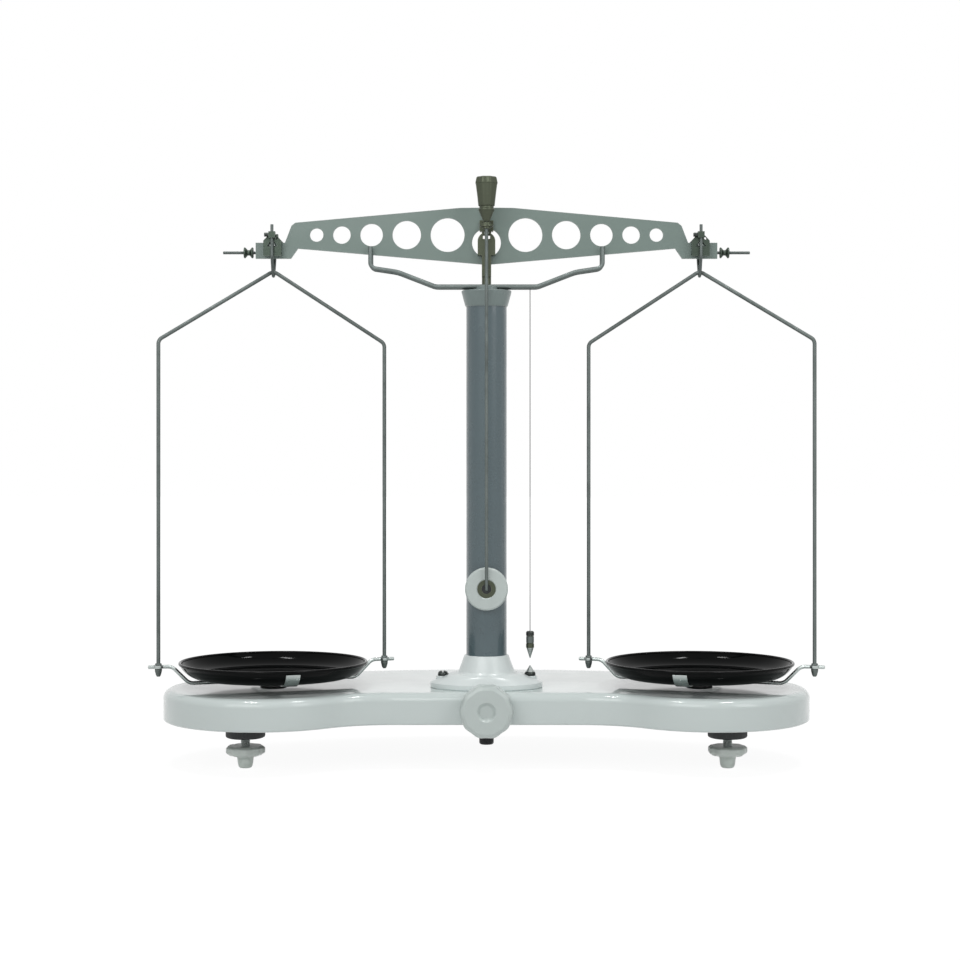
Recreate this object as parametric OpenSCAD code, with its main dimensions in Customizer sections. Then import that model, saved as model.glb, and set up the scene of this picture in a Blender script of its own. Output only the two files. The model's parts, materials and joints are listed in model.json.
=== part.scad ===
// Two-pan pillar balance with a beam arrest.
// Millimetres, +Z up, +X to the right, the user stands on the -Y side.
// The origin is on the table, under the middle of the outline box.

/* [Base] */
// Height of the base's underside above the table
base_clear = 28.8; // [24:0.2:36]
// Height of the base casting
base_h = 19.8; // [18:0.2:26]
// Radius of the round lobe under each pan
lobe_r = 65; // [60:0.5:72]
// How far each lobe's centre lies outside its pan's centre
lobe_offset = 5; // [0:0.5:8]
// Distance from the column to the straight front of the waist
waist_y = 33; // [30:0.5:38]
// Radius of the hollow curve between waist and lobe
waist_r = 60; // [45:1:70]
// Distance from the column to the middle of the back edge
back_y = 101; // [92:0.5:110]
// Radius of the rounded upper edge
base_edge_r = 5.5; // [3:0.5:6]
// Thickness of the casting's side walls
base_wall = 4; // [3:0.2:5]
// Thickness of the casting's top wall
base_top_wall = 4.5; // [4:0.1:5]
// Thickness of the plate that closes the underside
cover_t = 1.5; // [1:0.1:2]

/* [Feet] */
// How far each levelling foot lies outside its pan's centre
foot_beyond = 15.5; // [10:0.5:20]
// Distance of the levelling feet in front of the column
foot_y = 20; // [12:0.5:26]
// Distance of the rear foot behind the column
rear_foot_y = 76; // [68:0.5:84]
// Diameter of the levelling screw
stud_d = 6; // [5:0.5:7]
// Diameter of the levelling knob
foot_knob_d = 25; // [22:0.5:28]
// Thickness of the levelling knob
foot_knob_t = 6; // [5:0.2:8]
// Number of lobes on the levelling knob
foot_knob_lobes = 9; // [7:1:12]
// Height of the nose under the levelling knob
nose_h = 8; // [6:0.2:10]
// Thickness of the lock nut
lock_t = 5.6; // [4:0.2:6]
// Free space between the lock nut and the screw, where the threads lie
nut_play = 0.3; // [0.2:0.05:0.4]
// Diameter of the rear rubber foot
rear_foot_d = 11; // [9:0.5:13]
// Travel of a levelling foot up or down
foot_travel = 3; // [2:0.5:4]

/* [Column] */
// Outer diameter of the column tube
tube_d = 26; // [24:0.5:28]
// Wall of the column tube
tube_wall = 2; // [1.5:0.1:2.5]
// Length of the column tube
tube_l = 238.8; // [210:1:260]
// Half length of the oval flange
flange_a = 36; // [34:0.5:40]
// Half width of the oval flange
flange_b = 24; // [22:0.5:26]
// Height of the flange with its neck
flange_h = 20.8; // [19:0.2:24]
// Thickness of the flange at its rim
flange_rim = 3.5; // [3:0.1:4]
// Distance of the flange screws from the column's axis
flange_screw_x = 28; // [26:0.5:29]
// Height of the flared cap
cap_h = 10.4; // [9:0.2:14]
// Diameter of the cap at its top
cap_d = 32; // [30:0.5:34]

/* [Arrest] */
// Height of the turning knob's axis above the table
knob_z = 38.5; // [38:0.1:39]
// Diameter of the arrest knob over its lobes
knob_d = 33.5; // [30:0.5:36]
// Thickness of the arrest knob
knob_t = 13; // [10:0.5:15]
// Number of lobes on the arrest knob
knob_lobes = 10; // [8:1:14]
// Depth of the hollows between the lobes
knob_hollow = 0.6; // [0.4:0.1:1.6]
// Diameter of the dish in the knob's face
knob_dish_d = 11.4; // [9:0.2:13]
// Diameter of the knob's shaft
shaft_d = 5; // [4.5:0.1:5.5]
// Smallest radius of the snail cam
cam_r = 4; // [3.8:0.1:4.2]
// Width of the cam
cam_w = 5; // [4:0.2:6]
// Height by which the cam lifts the beam
lift = 3; // [2:0.1:3]
// Diameter of the lifting rod
lift_d = 6; // [5.6:0.1:6.4]
// Diameter of the rods of the rest arms
arm_d = 2.8; // [2.4:0.1:3.2]
// Distance of the fork tips from the column's axis
fork_x = 74.4; // [72:0.2:78]
// Height of the knife line above the rest arms
knife_rise = 30.4; // [29:0.2:33]

/* [Beam] */
// Distance from the centre knife to each end knife
arm_l = 137; // [132:0.5:142]
// Thickness of the beam plate
beam_t = 2.5; // [2:0.1:3]
// Height of the beam's top edge over the knife line
beam_top = 20.5; // [19:0.5:23]
// Depth of the beam's bottom edge under the knife line
beam_bottom = 16.1; // [15:0.1:17]
// Diameters of the lightening holes, from the middle outwards
hole_d = [21.8, 18.3, 14.5, 11.3, 8.7];
// Distance of the first lightening hole from the middle
hole_x = 25; // [24:0.2:26]
// Metal left between two lightening holes
hole_web = 6.2; // [5:0.2:6.6]
// Diameter of the hole round the centre bearing
centre_hole_d = 18.5; // [18:0.5:20]
// Height of a knife's triangle
knife_h = 4.5; // [4:0.1:5]
// Width of a knife's triangle
knife_w = 3.4; // [3:0.1:3.6]
// Diameter of the balance rods
balance_rod_d = 2; // [1.8:0.1:2.2]
// Diameter of the balance nuts
balance_nut_d = 7; // [6:0.5:8]
// Length of the balance nuts
balance_nut_l = 6; // [5:0.5:7]
// Travel of the balance nuts
balance_travel = 10; // [6:0.5:12]

/* [Pointer] */
// Diameter of the pointer
pointer_d = 2.1; // [1.8:0.1:2.4]
// Distance of the pointer in front of the column's axis
pointer_y = 20; // [19:0.2:22]
// Height of the pointer's tip above the table
pointer_tip_z = 111.7; // [100:0.5:125]
// Largest diameter of the sensitivity bob
bob_d = 14.9; // [13:0.5:17]
// Height of the sensitivity bob
bob_h = 28.3; // [26:0.5:32]
// Travel of the sensitivity bob
bob_travel = 3; // [1:0.5:4]
// Diameter of the index disc
disc_d = 27.4; // [25:0.2:30]
// Thickness of the index disc
disc_t = 3.2; // [2.6:0.1:3.6]
// Diameter of the brass hub in the index disc
hub_d = 11.7; // [10:0.1:13]

/* [Pans] */
// Diameter of a pan at its rim
pan_d = 120; // [110:1:122]
// Depth of a pan
pan_depth = 9.3; // [8:0.1:11]
// Radius of a pan's flat floor
pan_floor_r = 46; // [40:0.5:49]
// Thickness of a pan's wall
pan_t = 1; // [0.8:0.1:1.4]
// Diameter of the hanger wire
hanger_d = 2.5; // [2.2:0.1:2.8]
// Free space between a pan's rim and the hanger's leg
hanger_gap = 12.5; // [8:0.25:14]
// Angle by which each hanger is turned, its outer leg towards the user
hanger_turn = 18; // [0:1:24]
// Depth of the hanger's top under the knife line
hanger_drop = 21; // [20:0.2:24]
// Height of the hanger's sloping shoulders
shoulder_h = 44.5; // [38:0.5:50]
// Diameter of the carrier wire under a pan
carrier_d = 2.4; // [2:0.1:2.6]
// Free height between the base and the carrier wire
carrier_clear = 3.2; // [3.1:0.1:5]
// Diameter of the carrier's eyes, through which the hanger's legs pass
eye_d = 6.2; // [5.4:0.2:7]
// Width of the strap under a pan
strap_w = 9; // [7:0.5:11]
// Thickness of the strap
strap_t = 0.8; // [0.6:0.1:1.2]
// Diameter of the rubber rest pad under each pan
pad_d = 17; // [14:0.5:20]
// Thickness of the rubber rest pads
pad_t = 0.6; // [0.4:0.1:0.6]

/* [Plumb] */
// Distance of the plumb line from the column's axis
plumb_x = 28; // [26:0.5:29]
// Thickness of the plumb line
line_d = 0.5; // [0.4:0.05:0.8]
// Diameter of the plumb bob
plumb_d = 5.2; // [4.6:0.2:6]
// Length of the plumb bob
plumb_l = 17.5; // [15:0.5:17.5]

/* [Hidden] */
$fn = 64;

// Small clearances
slip = 0.04;
seat = 0.02;
touch = 0.05;

// Heights of the stack, from the table up
base_top = base_clear + base_h;
edge_low = 1.2;
cover_z = base_clear + 0.5;
tube_seat = 5.4;
tube_z = base_top + tube_seat;
cap_z = tube_z + tube_l;
cap_top = cap_z + cap_h;
arm_z = cap_top + arm_d / 2 + 1;
knife_z = arm_z + knife_rise;
hang_z = knife_z - hanger_drop;

// The balance's own axis lies in front of the middle of the outline
axis_y = (lobe_r - back_y) / 2;

// Plan of the base: two lobes, a broad back and a hollow waist
lobe_x = arm_l + lobe_offset;
foot_x = arm_l + foot_beyond;
back_rise = back_y - lobe_r;
back_c = (lobe_x * lobe_x - back_rise * back_rise) / (2 * back_rise);
back_r = back_y + back_c;
back_a = atan2(back_c, lobe_x);
waist_c = waist_y + waist_r;
waist_x = lobe_x - sqrt(pow(lobe_r + waist_r, 2) - pow(waist_c, 2));
waist_a = atan2(waist_c, lobe_x - waist_x);

// Arrest
knob_gap = 1.5;
cam_dwell = 20;
cam_turn = 90;
tip_r = 1.5;
tip_gap = 0.35;
rod_z = knob_z + cam_r + tip_gap;
arm_y = lift_d / 2 + 0.25 + arm_d / 2;
pocket_z = knob_z + cam_r + lift + 0.5;
bush_wall = 2;

// Beam, measured from the knife line
tab_top = 2;
tab_h = 10.2;
tab_x = arm_l + 11.3;
shoulder_x = arm_l - 12.6;
shoulder_top = 10.9;
shoulder_bottom = 5.7;
centre_hole_z = -2;
hole_z = 3;
yoke_gap = 1.15;
yoke_t = 3.8;
yoke_in = beam_t / 2 + yoke_gap;
yoke_out = yoke_in + yoke_t;
cheek_top = 4.2;
cheek_w = 11.3;
arm_tip = 4.6;
pin_d = 1.6;
rock_drop = 1.6;
clamp_z = knife_z + 7;
clamp_r = 2;

// Suspension of a pan
cheek_in = 4.2;
cheek_out = 7.2;
stirrup_d = 2;
stirrup_y = cheek_out + 0.7 + stirrup_d / 2;
lug_out = stirrup_y + stirrup_d / 2 + 0.8;
leg_x = pan_d / 2 + hanger_gap + hanger_d / 2;
flat_z = base_top + carrier_clear + carrier_d / 2;
strap_z = flat_z + carrier_d / 2;
pan_z = strap_z + strap_t + touch;
flank_dx = pan_d / 2 - pan_floor_r;
flank_r = (flank_dx * flank_dx + pan_depth * pan_depth) / (2 * pan_depth);
flank_a = asin(flank_dx / flank_r);
wire_z = flat_z + 11;
end_nut_h = 4.2;
stub_l = 6.5;

// Pointer, index and plumb line
disc_y = pointer_y - pointer_d / 2 - 1.45;
bob_z = clamp_z + clamp_r + 0.4;
bob_bore_top = bob_z + bob_h - 6;
// Route of the plumb line, from its pin down to the bob
plumb_route = [[28, -18, 304.5], [28, -18, 250], [28, -18, 195], [28, -18, 140], [28, -18, 84.5]];
line_sides = 8;
line_rings = 40;

// Sides of a bent rod, and steps round one of its bends
rod_sides = 14;
rod_steps = 6;

// A round arc as points, from angle a to angle b
function arc(centre, r, a, b, n) =
    [for (i = [0 : n]) centre + r * [cos(a + (b - a) * i / n), sin(a + (b - a) * i / n)]];

// The base's outline, drawn inwards by a distance
lobe_n = 36;
waist_n = 8;
function base_outline(inset) = concat(
    arc([lobe_x, 0], lobe_r - inset, waist_a - 180, back_a, lobe_n),
    arc([0, -back_c], back_r - inset, back_a + 1.5, 178.5 - back_a, 2 * waist_n - 1),
    arc([-lobe_x, 0], lobe_r - inset, 180 - back_a, 360 - waist_a, lobe_n),
    arc([-waist_x, -waist_c], waist_r + inset, 180 - waist_a - 5, 90, waist_n - 1),
    arc([waist_x, -waist_c], waist_r + inset, 90, waist_a + 5, waist_n - 1));

// The same outline as convex pieces: a lobe, a strip from back to waist, a lobe
back_1 = lobe_n + 1;
left_1 = back_1 + 2 * waist_n;
front_1 = left_1 + lobe_n + 1;
front_n = front_1 + 2 * waist_n - 1;
base_pieces = concat(
    [[for (i = [0 : lobe_n]) i], [for (i = [0 : lobe_n]) left_1 + i],
     [lobe_n, back_1, front_n, 0], [left_1, front_1 - 1, front_1, left_1 - 1]],
    [for (k = [0 : 2 * waist_n - 2])
        [front_1 + k, front_1 + k + 1, left_1 - 2 - k, left_1 - 1 - k]]);

// Direction of travel and its left-hand normal, in the plane
function unit(v) = v / norm(v);
function left_of(v) = [-v[1], v[0]];

// Turning angle at point i of a path
function turn_at(p, i) =
    let (u = unit(p[i] - p[i - 1]), v = unit(p[i + 1] - p[i]))
    atan2(u[0] * v[1] - u[1] * v[0], u * v);

// Length that the bend at point i takes from each straight beside it
function trim_at(p, r, i) =
    (i == 0 || i == len(p) - 1) ? 0 : r[i] * tan(abs(turn_at(p, i)) / 2);

// A point of a polyline, at a share of its length
function along(p, s) =
    let (n = len(p) - 1, k = min(floor(s * n), n - 1), f = s * n - k)
    p[k] * (1 - f) + p[k + 1] * f;

// Radius of the snail cam, by the angle from its lowest point
function cam_radius(a) =
    a <= cam_turn ? cam_r + lift * a / cam_turn
    : a <= cam_turn + cam_dwell ? cam_r + lift
    : cam_r + lift * (1 + cos(180 * (a - cam_turn - cam_dwell) / (360 - cam_turn - cam_dwell))) / 2;

// Distance of lightening hole i from the middle
function hole_at(i) =
    i == 0 ? hole_x : hole_at(i - 1) + (hole_d[i - 1] + hole_d[i]) / 2 + hole_web;

// Places a part built round the column's axis
module on_axis() { translate([0, axis_y, 0]) children(); }

// Places a part built round the end knife of one side
module at_side(side) { translate([side * arm_l, axis_y, 0]) children(); }

// Places a part that hangs from the stirrup of one side
module hung(side) { at_side(side) rotate([0, 0, -side * hanger_turn]) children(); }

// Turns a drawing in the XY plane up into the XZ plane
module upright() { rotate([90, 0, 0]) children(); }

// Ring of points round a rod in the XY plane, at a place and a heading
function rod_ring(c, heading, d) = [for (i = [0 : rod_sides - 1])
    let (a = 360 * i / rod_sides)
    [c[0] - sin(heading) * cos(a) * d / 2, c[1] + cos(heading) * cos(a) * d / 2, sin(a) * d / 2]];

// Rings round the bend at point i of a path
function bend_rings(p, r, i, d) =
    let (
        u = unit(p[i] - p[i - 1]),
        t = turn_at(p, i),
        s = sign(t),
        start = p[i] - u * trim_at(p, r, i),
        centre = start + s * r[i] * left_of(u),
        h = atan2(u[1], u[0]))
    [for (k = [0 : rod_steps])
        let (a = h + t * k / rod_steps)
        rod_ring(centre + s * r[i] * [sin(a), -cos(a)], a, d)];

// A rod bent in the XY plane, with round bends at its inner points
module bent_rod(p, r, d) {
    last = len(p) - 1;
    first_way = p[1] - p[0];
    last_way = p[last] - p[last - 1];
    loft(concat(
        [rod_ring(p[0], atan2(first_way[1], first_way[0]), d)],
        [for (i = [1 : last - 1]) each bend_rings(p, r, i, d)],
        [rod_ring(p[last], atan2(last_way[1], last_way[0]), d)]));
}

// A smooth shell through rings of points, closed at both ends by flat pieces
module loft(rings, pieces = []) {
    n = len(rings[0]);
    m = len(rings);
    ends = len(pieces) > 0 ? pieces : [[for (i = [0 : n - 1]) i]];
    points = [for (ring = rings) for (p = ring) p];
    sides = [for (k = [0 : m - 2]) for (i = [0 : n - 1])
        let (j = (i + 1) % n) each [
            [k * n + i, (k + 1) * n + j, k * n + j],
            [k * n + i, (k + 1) * n + i, (k + 1) * n + j]]];
    far_ends = [for (piece = ends)
        [for (i = [len(piece) - 1 : -1 : 0]) (m - 1) * n + piece[i]]];
    polyhedron(points, concat(sides, ends, far_ends), convexity = 6);
}

function ring(outline, z) = [for (p = outline) [p[0], p[1], z]];

// Base casting with its rounded upper edge
module base_body() {
    steps = 5;
    loft(concat(
        [ring(base_outline(edge_low), base_clear), ring(base_outline(0), base_clear + edge_low)],
        [for (i = [0 : steps])
            let (a = 90 * i / steps)
            ring(base_outline(base_edge_r * (1 - cos(a))), base_top - base_edge_r * (1 - sin(a)))]),
        base_pieces);
}

cover_screw_at = [[foot_x + 30, 14], [foot_x * 0.42, 66], [-foot_x * 0.42, 66], [-foot_x - 30, 14]];
screw_shank = 3;
boss_z = nose_h + foot_knob_t + foot_travel + 2.2 + lock_t;

module base_casting() {
    color("gainsboro") on_axis() difference() {
        union() {
            difference() {
                base_body();
                translate([0, 0, base_clear - 1])
                    linear_extrude(base_h + 1 - base_top_wall) polygon(base_outline(base_wall));
            }
            intersection() {
                base_bosses();
                translate([0, 0, boss_z])
                    linear_extrude(base_top - boss_z - base_top_wall / 2)
                        polygon(base_outline(base_wall / 2));
            }
        }
        base_bores();
    }
}

// Bosses inside the casting
module base_bosses() {
    for (side = [-1, 1]) {
        translate([side * foot_x, -foot_y, boss_z]) cylinder(r = stud_d / 2 + 6, h = base_h + 10);
        translate([side * flange_screw_x, 0, cover_z + cover_t + 1])
            cylinder(r = screw_shank / 2 + 3, h = base_h);
    }
    translate([0, rear_foot_y, boss_z]) cylinder(r = rear_foot_d / 2 + 3, h = base_h + 10);
    for (p = cover_screw_at)
        translate([p[0], p[1], cover_z + cover_t]) cylinder(r = screw_shank / 2 + 3, h = base_h);
    translate([0, base_wall / 2 - waist_y, knob_z])
        upright() mirror([0, 0, 1]) cylinder(r = shaft_d / 2 + bush_wall + 2, h = 14);
    translate([-8, cam_w / 2 + 3, cover_z + cover_t + 1]) cube([16, 7, base_h]);
}

// Bores and pockets of the casting
module base_bores() {
    for (side = [-1, 1]) {
        translate([side * foot_x, -foot_y, boss_z - 1])
            cylinder(d = stud_d + 2 * slip, h = base_top - boss_z - 1.5);
        translate([side * flange_screw_x, 0, base_top - 10])
            cylinder(d = screw_shank + 2 * seat, h = 11);
    }
    translate([0, rear_foot_y, boss_z - 1]) cylinder(d = 5 + 2 * seat, h = 11);
    for (p = cover_screw_at)
        translate([p[0], p[1], cover_z]) cylinder(d = screw_shank + 2 * seat, h = 9);
    translate([0, -waist_y - 1, knob_z]) upright() mirror([0, 0, 1])
        cylinder(d = shaft_d + 2 * bush_wall + 2 * seat, h = 16 + base_wall);
    translate([0, 0, knob_z]) upright() mirror([0, 0, 1]) cylinder(d = shaft_d + 2 * slip, h = 20);
    translate([-cam_r - lift - 1.5, -cam_w / 2 - 0.6, base_top - base_top_wall - 1])
        cube([2 * (cam_r + lift + 1.5), cam_w + 1.2, pocket_z - base_top + base_top_wall + 1]);
    translate([0, 0, pocket_z - 1])
        cylinder(d = lift_d + 2 * bush_wall + 2 * seat, h = base_top - pocket_z + 2);
}

// Plate that closes the underside of the casting
module base_cover() {
    color("dimgray") on_axis() translate([0, 0, cover_z]) difference() {
        linear_extrude(cover_t) polygon(base_outline(base_wall + 0.2));
        for (side = [-1, 1])
            translate([side * foot_x, -foot_y, -1]) cylinder(r = stud_d / 2 + 6.2, h = cover_t + 2);
        translate([0, rear_foot_y, -1]) cylinder(r = rear_foot_d / 2 + 3.2, h = cover_t + 2);
        for (p = cover_screw_at)
            translate([p[0], p[1], -1]) cylinder(d = screw_shank + 0.2, h = cover_t + 2);
    }
}

// Screws that hold the cover plate
module cover_screws() {
    color("gray") on_axis() for (p = cover_screw_at) translate([p[0], p[1], cover_z]) {
        translate([0, 0, -1.6]) difference() {
            cylinder(d = 2 * screw_shank, h = 1.6);
            translate([-screw_shank, -0.4, -1]) cube([2 * screw_shank, 0.8, 1.8]);
        }
        cylinder(d = screw_shank, h = 8);
    }
}

// Rubber foot under the back of the base
module rear_foot() {
    color("black") on_axis() translate([0, rear_foot_y, 0]) {
        rotate_extrude() polygon([
            [0, 0], [rear_foot_d / 2 - 1.4, 0], [rear_foot_d / 2 - 0.6, 0.8],
            [rear_foot_d / 2, boss_z - 2], [rear_foot_d / 2 - 1, boss_z], [0, boss_z]]);
        cylinder(d = 5, h = boss_z + 9);
    }
}

// Rubber pads on the base, on which the carriers come to rest
module rest_pads() {
    color("black") for (side = [-1, 1]) at_side(side)
        translate([0, 0, base_top]) cylinder(d1 = pad_d, d2 = pad_d - pad_t, h = pad_t);
}

// Levelling screw
module foot_stud(side) {
    color("dimgray") on_axis() translate([side * foot_x, -foot_y, nose_h / 2])
        cylinder(d = stud_d, h = base_top - 3.5 - foot_travel - nose_h / 2);
}

// Ring of rounded lobes, as the grip of a knob
module lobed_disc(d, t, lobes, depth) {
    linear_extrude(t) polygon([for (i = [0 : lobes * 12 - 1])
        let (a = 360 * i / (lobes * 12), r = d / 2 - depth * (1 - cos(lobes * a)) / 2)
        r * [cos(a), sin(a)]]);
}

// Knob of the levelling screw, with the nose that stands on the table
module foot_knob(side) {
    edge = 1;
    color("gainsboro") on_axis() translate([side * foot_x, -foot_y, 0]) difference() {
        union() {
            rotate_extrude() polygon([
                [0, 0], [3.3, 0], [4, 0.5], [4.6, nose_h * 0.4], [5.2, nose_h], [0, nose_h]]);
            intersection() {
                translate([0, 0, nose_h - 0.01]) lobed_disc(foot_knob_d, foot_knob_t, foot_knob_lobes, 1);
                translate([0, 0, nose_h - 0.01]) rotate_extrude() polygon([
                    [0, 0], [foot_knob_d / 2 - 3 * edge, 0], [foot_knob_d / 2, 1.6 * edge],
                    [foot_knob_d / 2, foot_knob_t - edge], [foot_knob_d / 2 - edge, foot_knob_t],
                    [0, foot_knob_t]]);
            }
        }
        translate([0, 0, nose_h / 2 - seat]) cylinder(d = stud_d + 2 * slip, h = foot_knob_t + nose_h);
    }
}

// Round nut that locks the levelling screw against the base
module lock_nut(side) {
    r = foot_knob_d / 2;
    color("darkslategray") on_axis() translate([side * foot_x, -foot_y, boss_z - lock_t]) difference() {
        rotate_extrude() polygon([
            [0, 0], [r - 2.2, 0], [r - 0.4, 1.2], [r, 1.9], [r, lock_t - 0.6], [r - 0.5, lock_t - seat],
            [0, lock_t - seat]]);
        translate([0, 0, -1]) cylinder(r = stud_d / 2 + nut_play, h = lock_t + 2);
    }
}

// Half axes of the flange at a share of the way from rim to neck
neck_r = tube_d / 2 + 1.3;
neck_foot_r = neck_r + 4.7;
dome_h = 9.2;
dome_foot = 0.4;
function flange_ring(a, b, z) =
    [for (i = [0 : 71]) [a * cos(i * 5), b * sin(i * 5), z]];
function dome_ring(s) = flange_ring(
    flange_a - dome_foot + (neck_foot_r - flange_a + dome_foot) * s,
    flange_b - dome_foot + (neck_foot_r - flange_b + dome_foot) * s,
    flange_rim + (dome_h - flange_rim) * sin(90 * s));

// Oval flange that carries the column
module column_flange() {
    color("gainsboro") on_axis() translate([0, 0, base_top]) difference() {
        union() {
            loft(concat(
                [flange_ring(flange_a, flange_b, 0),
                 flange_ring(flange_a, flange_b, flange_rim - 0.4)],
                [for (i = [0 : 6]) dome_ring(i / 6)],
                [flange_ring(neck_foot_r - 1.1, neck_foot_r - 1.1, dome_h + 1.3),
                 flange_ring(neck_r, neck_r, flange_h)]));
            for (side = [-1, 1]) translate([side * flange_screw_x, 0, 1])
                cylinder(d1 = 2 * screw_shank + 4.4, d2 = 2 * screw_shank + 2.4, h = screw_seat - 1);
        }
        translate([0, 0, tube_seat]) cylinder(d = tube_d + 2 * seat, h = flange_h);
        translate([0, 0, -1]) cylinder(d = lift_d + 2 * bush_wall + 2 * seat, h = tube_seat + 2);
        for (side = [-1, 1]) translate([side * flange_screw_x, 0, 0]) {
            translate([0, 0, -1]) cylinder(d = screw_shank + 2 * seat, h = dome_h + 2);
            translate([0, 0, screw_seat]) cylinder(d = 2 * screw_shank + 2, h = dome_h);
        }
    }
}
screw_seat = flange_rim + 3.8;

// Screw that holds the flange on the left
module flange_screw() {
    color("darkslategray") on_axis() translate([-flange_screw_x, 0, base_top + screw_seat]) difference() {
        union() {
            rotate_extrude() polygon([
                [0, 0], [screw_shank + 0.3, 0], [screw_shank + 0.3, 1.4], [screw_shank - 0.3, 2.6],
                [1.5, 3.1], [0, 3.1]]);
            translate([0, 0, -screw_seat - 9]) cylinder(d = screw_shank, h = screw_seat + 9.5);
        }
        translate([-0.45, -screw_shank - 1, 2.1]) cube([0.9, 2 * screw_shank + 2, 2]);
    }
}

// Pointed screw on the right, over which the plumb bob hangs
module plumb_target() {
    color("darkslategray") on_axis() translate([flange_screw_x, 0, base_top + screw_seat]) {
        rotate_extrude() polygon([
            [0, 0], [screw_shank + 0.5, 0], [screw_shank + 0.5, 1.8], [0.25, 6.6], [0, 6.6]]);
        translate([0, 0, -screw_seat - 9]) cylinder(d = screw_shank, h = screw_seat + 9.5);
    }
}

// Brass bushes: one guides the lifting rod, one carries the knob's shaft
module guide_bushes() {
    color("darkgoldenrod") on_axis() {
        translate([0, 0, pocket_z]) difference() {
            cylinder(d = lift_d + 2 * bush_wall, h = tube_z - pocket_z);
            translate([0, 0, -1]) cylinder(d = lift_d + 2 * slip, h = tube_z - pocket_z + 2);
        }
        translate([0, -waist_y, knob_z]) upright() mirror([0, 0, 1]) difference() {
            cylinder(d = shaft_d + 2 * bush_wall, h = 12 + base_wall);
            translate([0, 0, -1]) cylinder(d = shaft_d + 2 * slip, h = 14 + base_wall);
        }
    }
}

// Column tube, with the hole for the index disc's hub
module column_tube() {
    color("slategray") on_axis() difference() {
        translate([0, 0, tube_z]) cylinder(d = tube_d, h = tube_l);
        translate([0, 0, tube_z - 1]) cylinder(d = tube_d - 2 * tube_wall, h = tube_l + 2);
        translate([0, 0, pointer_tip_z + 1]) upright() cylinder(d = 4 + 2 * seat, h = tube_d);
    }
}

// Flared cap on the column, which guides the lifting rod and holds the rest arms
module column_cap() {
    spigot_l = 12;
    color("darkgray") on_axis() difference() {
        union() {
            translate([0, 0, cap_z]) rotate_extrude() polygon([
                [0, 0], [tube_d / 2 + 0.3, 0], [tube_d / 2 + 0.8, 1], [cap_d / 2, cap_h - 1.2],
                [cap_d / 2, cap_h - 0.3], [cap_d / 2 - 0.4, cap_h], [0, cap_h]]);
            translate([0, 0, cap_z - spigot_l])
                cylinder(d = tube_d - 2 * tube_wall - 2 * seat, h = spigot_l + 1);
            translate([0, 0, cap_top - 1]) cylinder(r = arm_y + 4, h = arm_z - cap_top + 1);
        }
        translate([0, 0, cap_z - spigot_l - 1])
            cylinder(d = lift_d + 2 * slip, h = spigot_l + cap_h + arm_z - cap_top + 2);
        for (side = [-1, 1]) translate([-cap_d, side * arm_y, arm_z])
            rotate([0, 90, 0]) cylinder(d = arm_d + 2 * seat, h = 2 * cap_d);
    }
}

// White disc in front of which the pointer plays
module index_disc() {
    color("whitesmoke") on_axis() translate([0, -disc_y, pointer_tip_z + 1]) rotate([-90, 0, 0])
        difference() {
            rotate_extrude() polygon([
                [0, 0], [disc_d / 2 - 0.8, 0], [disc_d / 2, 0.8], [disc_d / 2, disc_t - 0.5],
                [disc_d / 2 - 0.5, disc_t], [0, disc_t]]);
            translate([0, 0, -1]) cylinder(d = hub_d, h = disc_t + 2);
        }
}

// Brass hub that holds the disc on the column
module index_hub() {
    back = disc_y - disc_t;
    color("darkolivegreen") on_axis() translate([0, 0, pointer_tip_z + 1]) difference() {
        union() {
            translate([0, 1 - disc_y, 0]) rotate([-90, 0, 0])
                cylinder(d = hub_d - 2 * seat, h = disc_t - 1);
            translate([0, -back, 0]) rotate([-90, 0, 0]) cylinder(d = hub_d + 3, h = back);
        }
        translate([0, 0, -hub_d]) cylinder(d = tube_d + 2 * seat, h = 2 * hub_d);
        translate([0, 0.5 - disc_y, 0]) rotate([-90, 0, 0]) cylinder(d = hub_d * 0.55, h = 1.4);
    }
    color("darkolivegreen") on_axis() translate([0, -tube_d / 2 - 0.2, pointer_tip_z + 1])
        rotate([-90, 0, 0]) cylinder(d = 4, h = tube_wall + 2.2);
}

// Lobed knob that turns the arrest
module arrest_knob() {
    face = knob_d / 2;
    dish_depth = 1.6;
    color("whitesmoke") on_axis() translate([0, -waist_y - knob_gap - knob_t, knob_z])
        rotate([-90, 0, 0]) difference() {
            intersection() {
                lobed_disc(knob_d, knob_t, knob_lobes, knob_hollow);
                rotate_extrude() polygon([
                    [0, 0], [face - 2.6, 0], [face - 0.8, 0.8], [face, 2.4], [face, knob_t - 1.5],
                    [face - 1.5, knob_t], [0, knob_t]]);
            }
            translate([0, 0, -dish_depth])
                cylinder(d1 = knob_dish_d + 2, d2 = knob_dish_d - 2, h = 2 * dish_depth);
            translate([0, 0, 4]) cylinder(d = shaft_d + 2 * seat, h = knob_t);
        }
}

// Shaft of the arrest knob
module arrest_shaft() {
    front = waist_y + knob_gap + knob_t - 4;
    color("silver") on_axis() translate([0, -front, knob_z]) rotate([-90, 0, 0])
        cylinder(d = shaft_d, h = front + cam_w / 2 + 9);
}

// Snail cam under the lifting rod
module arrest_cam() {
    color("goldenrod") on_axis() translate([0, cam_w / 2, knob_z]) upright() difference() {
        linear_extrude(cam_w) polygon([for (a = [0 : 5 : 355])
            cam_radius(a) * [-sin(a), cos(a)]]);
        translate([0, 0, -1]) cylinder(d = shaft_d + 2 * seat, h = cam_w + 2);
    }
}

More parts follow.
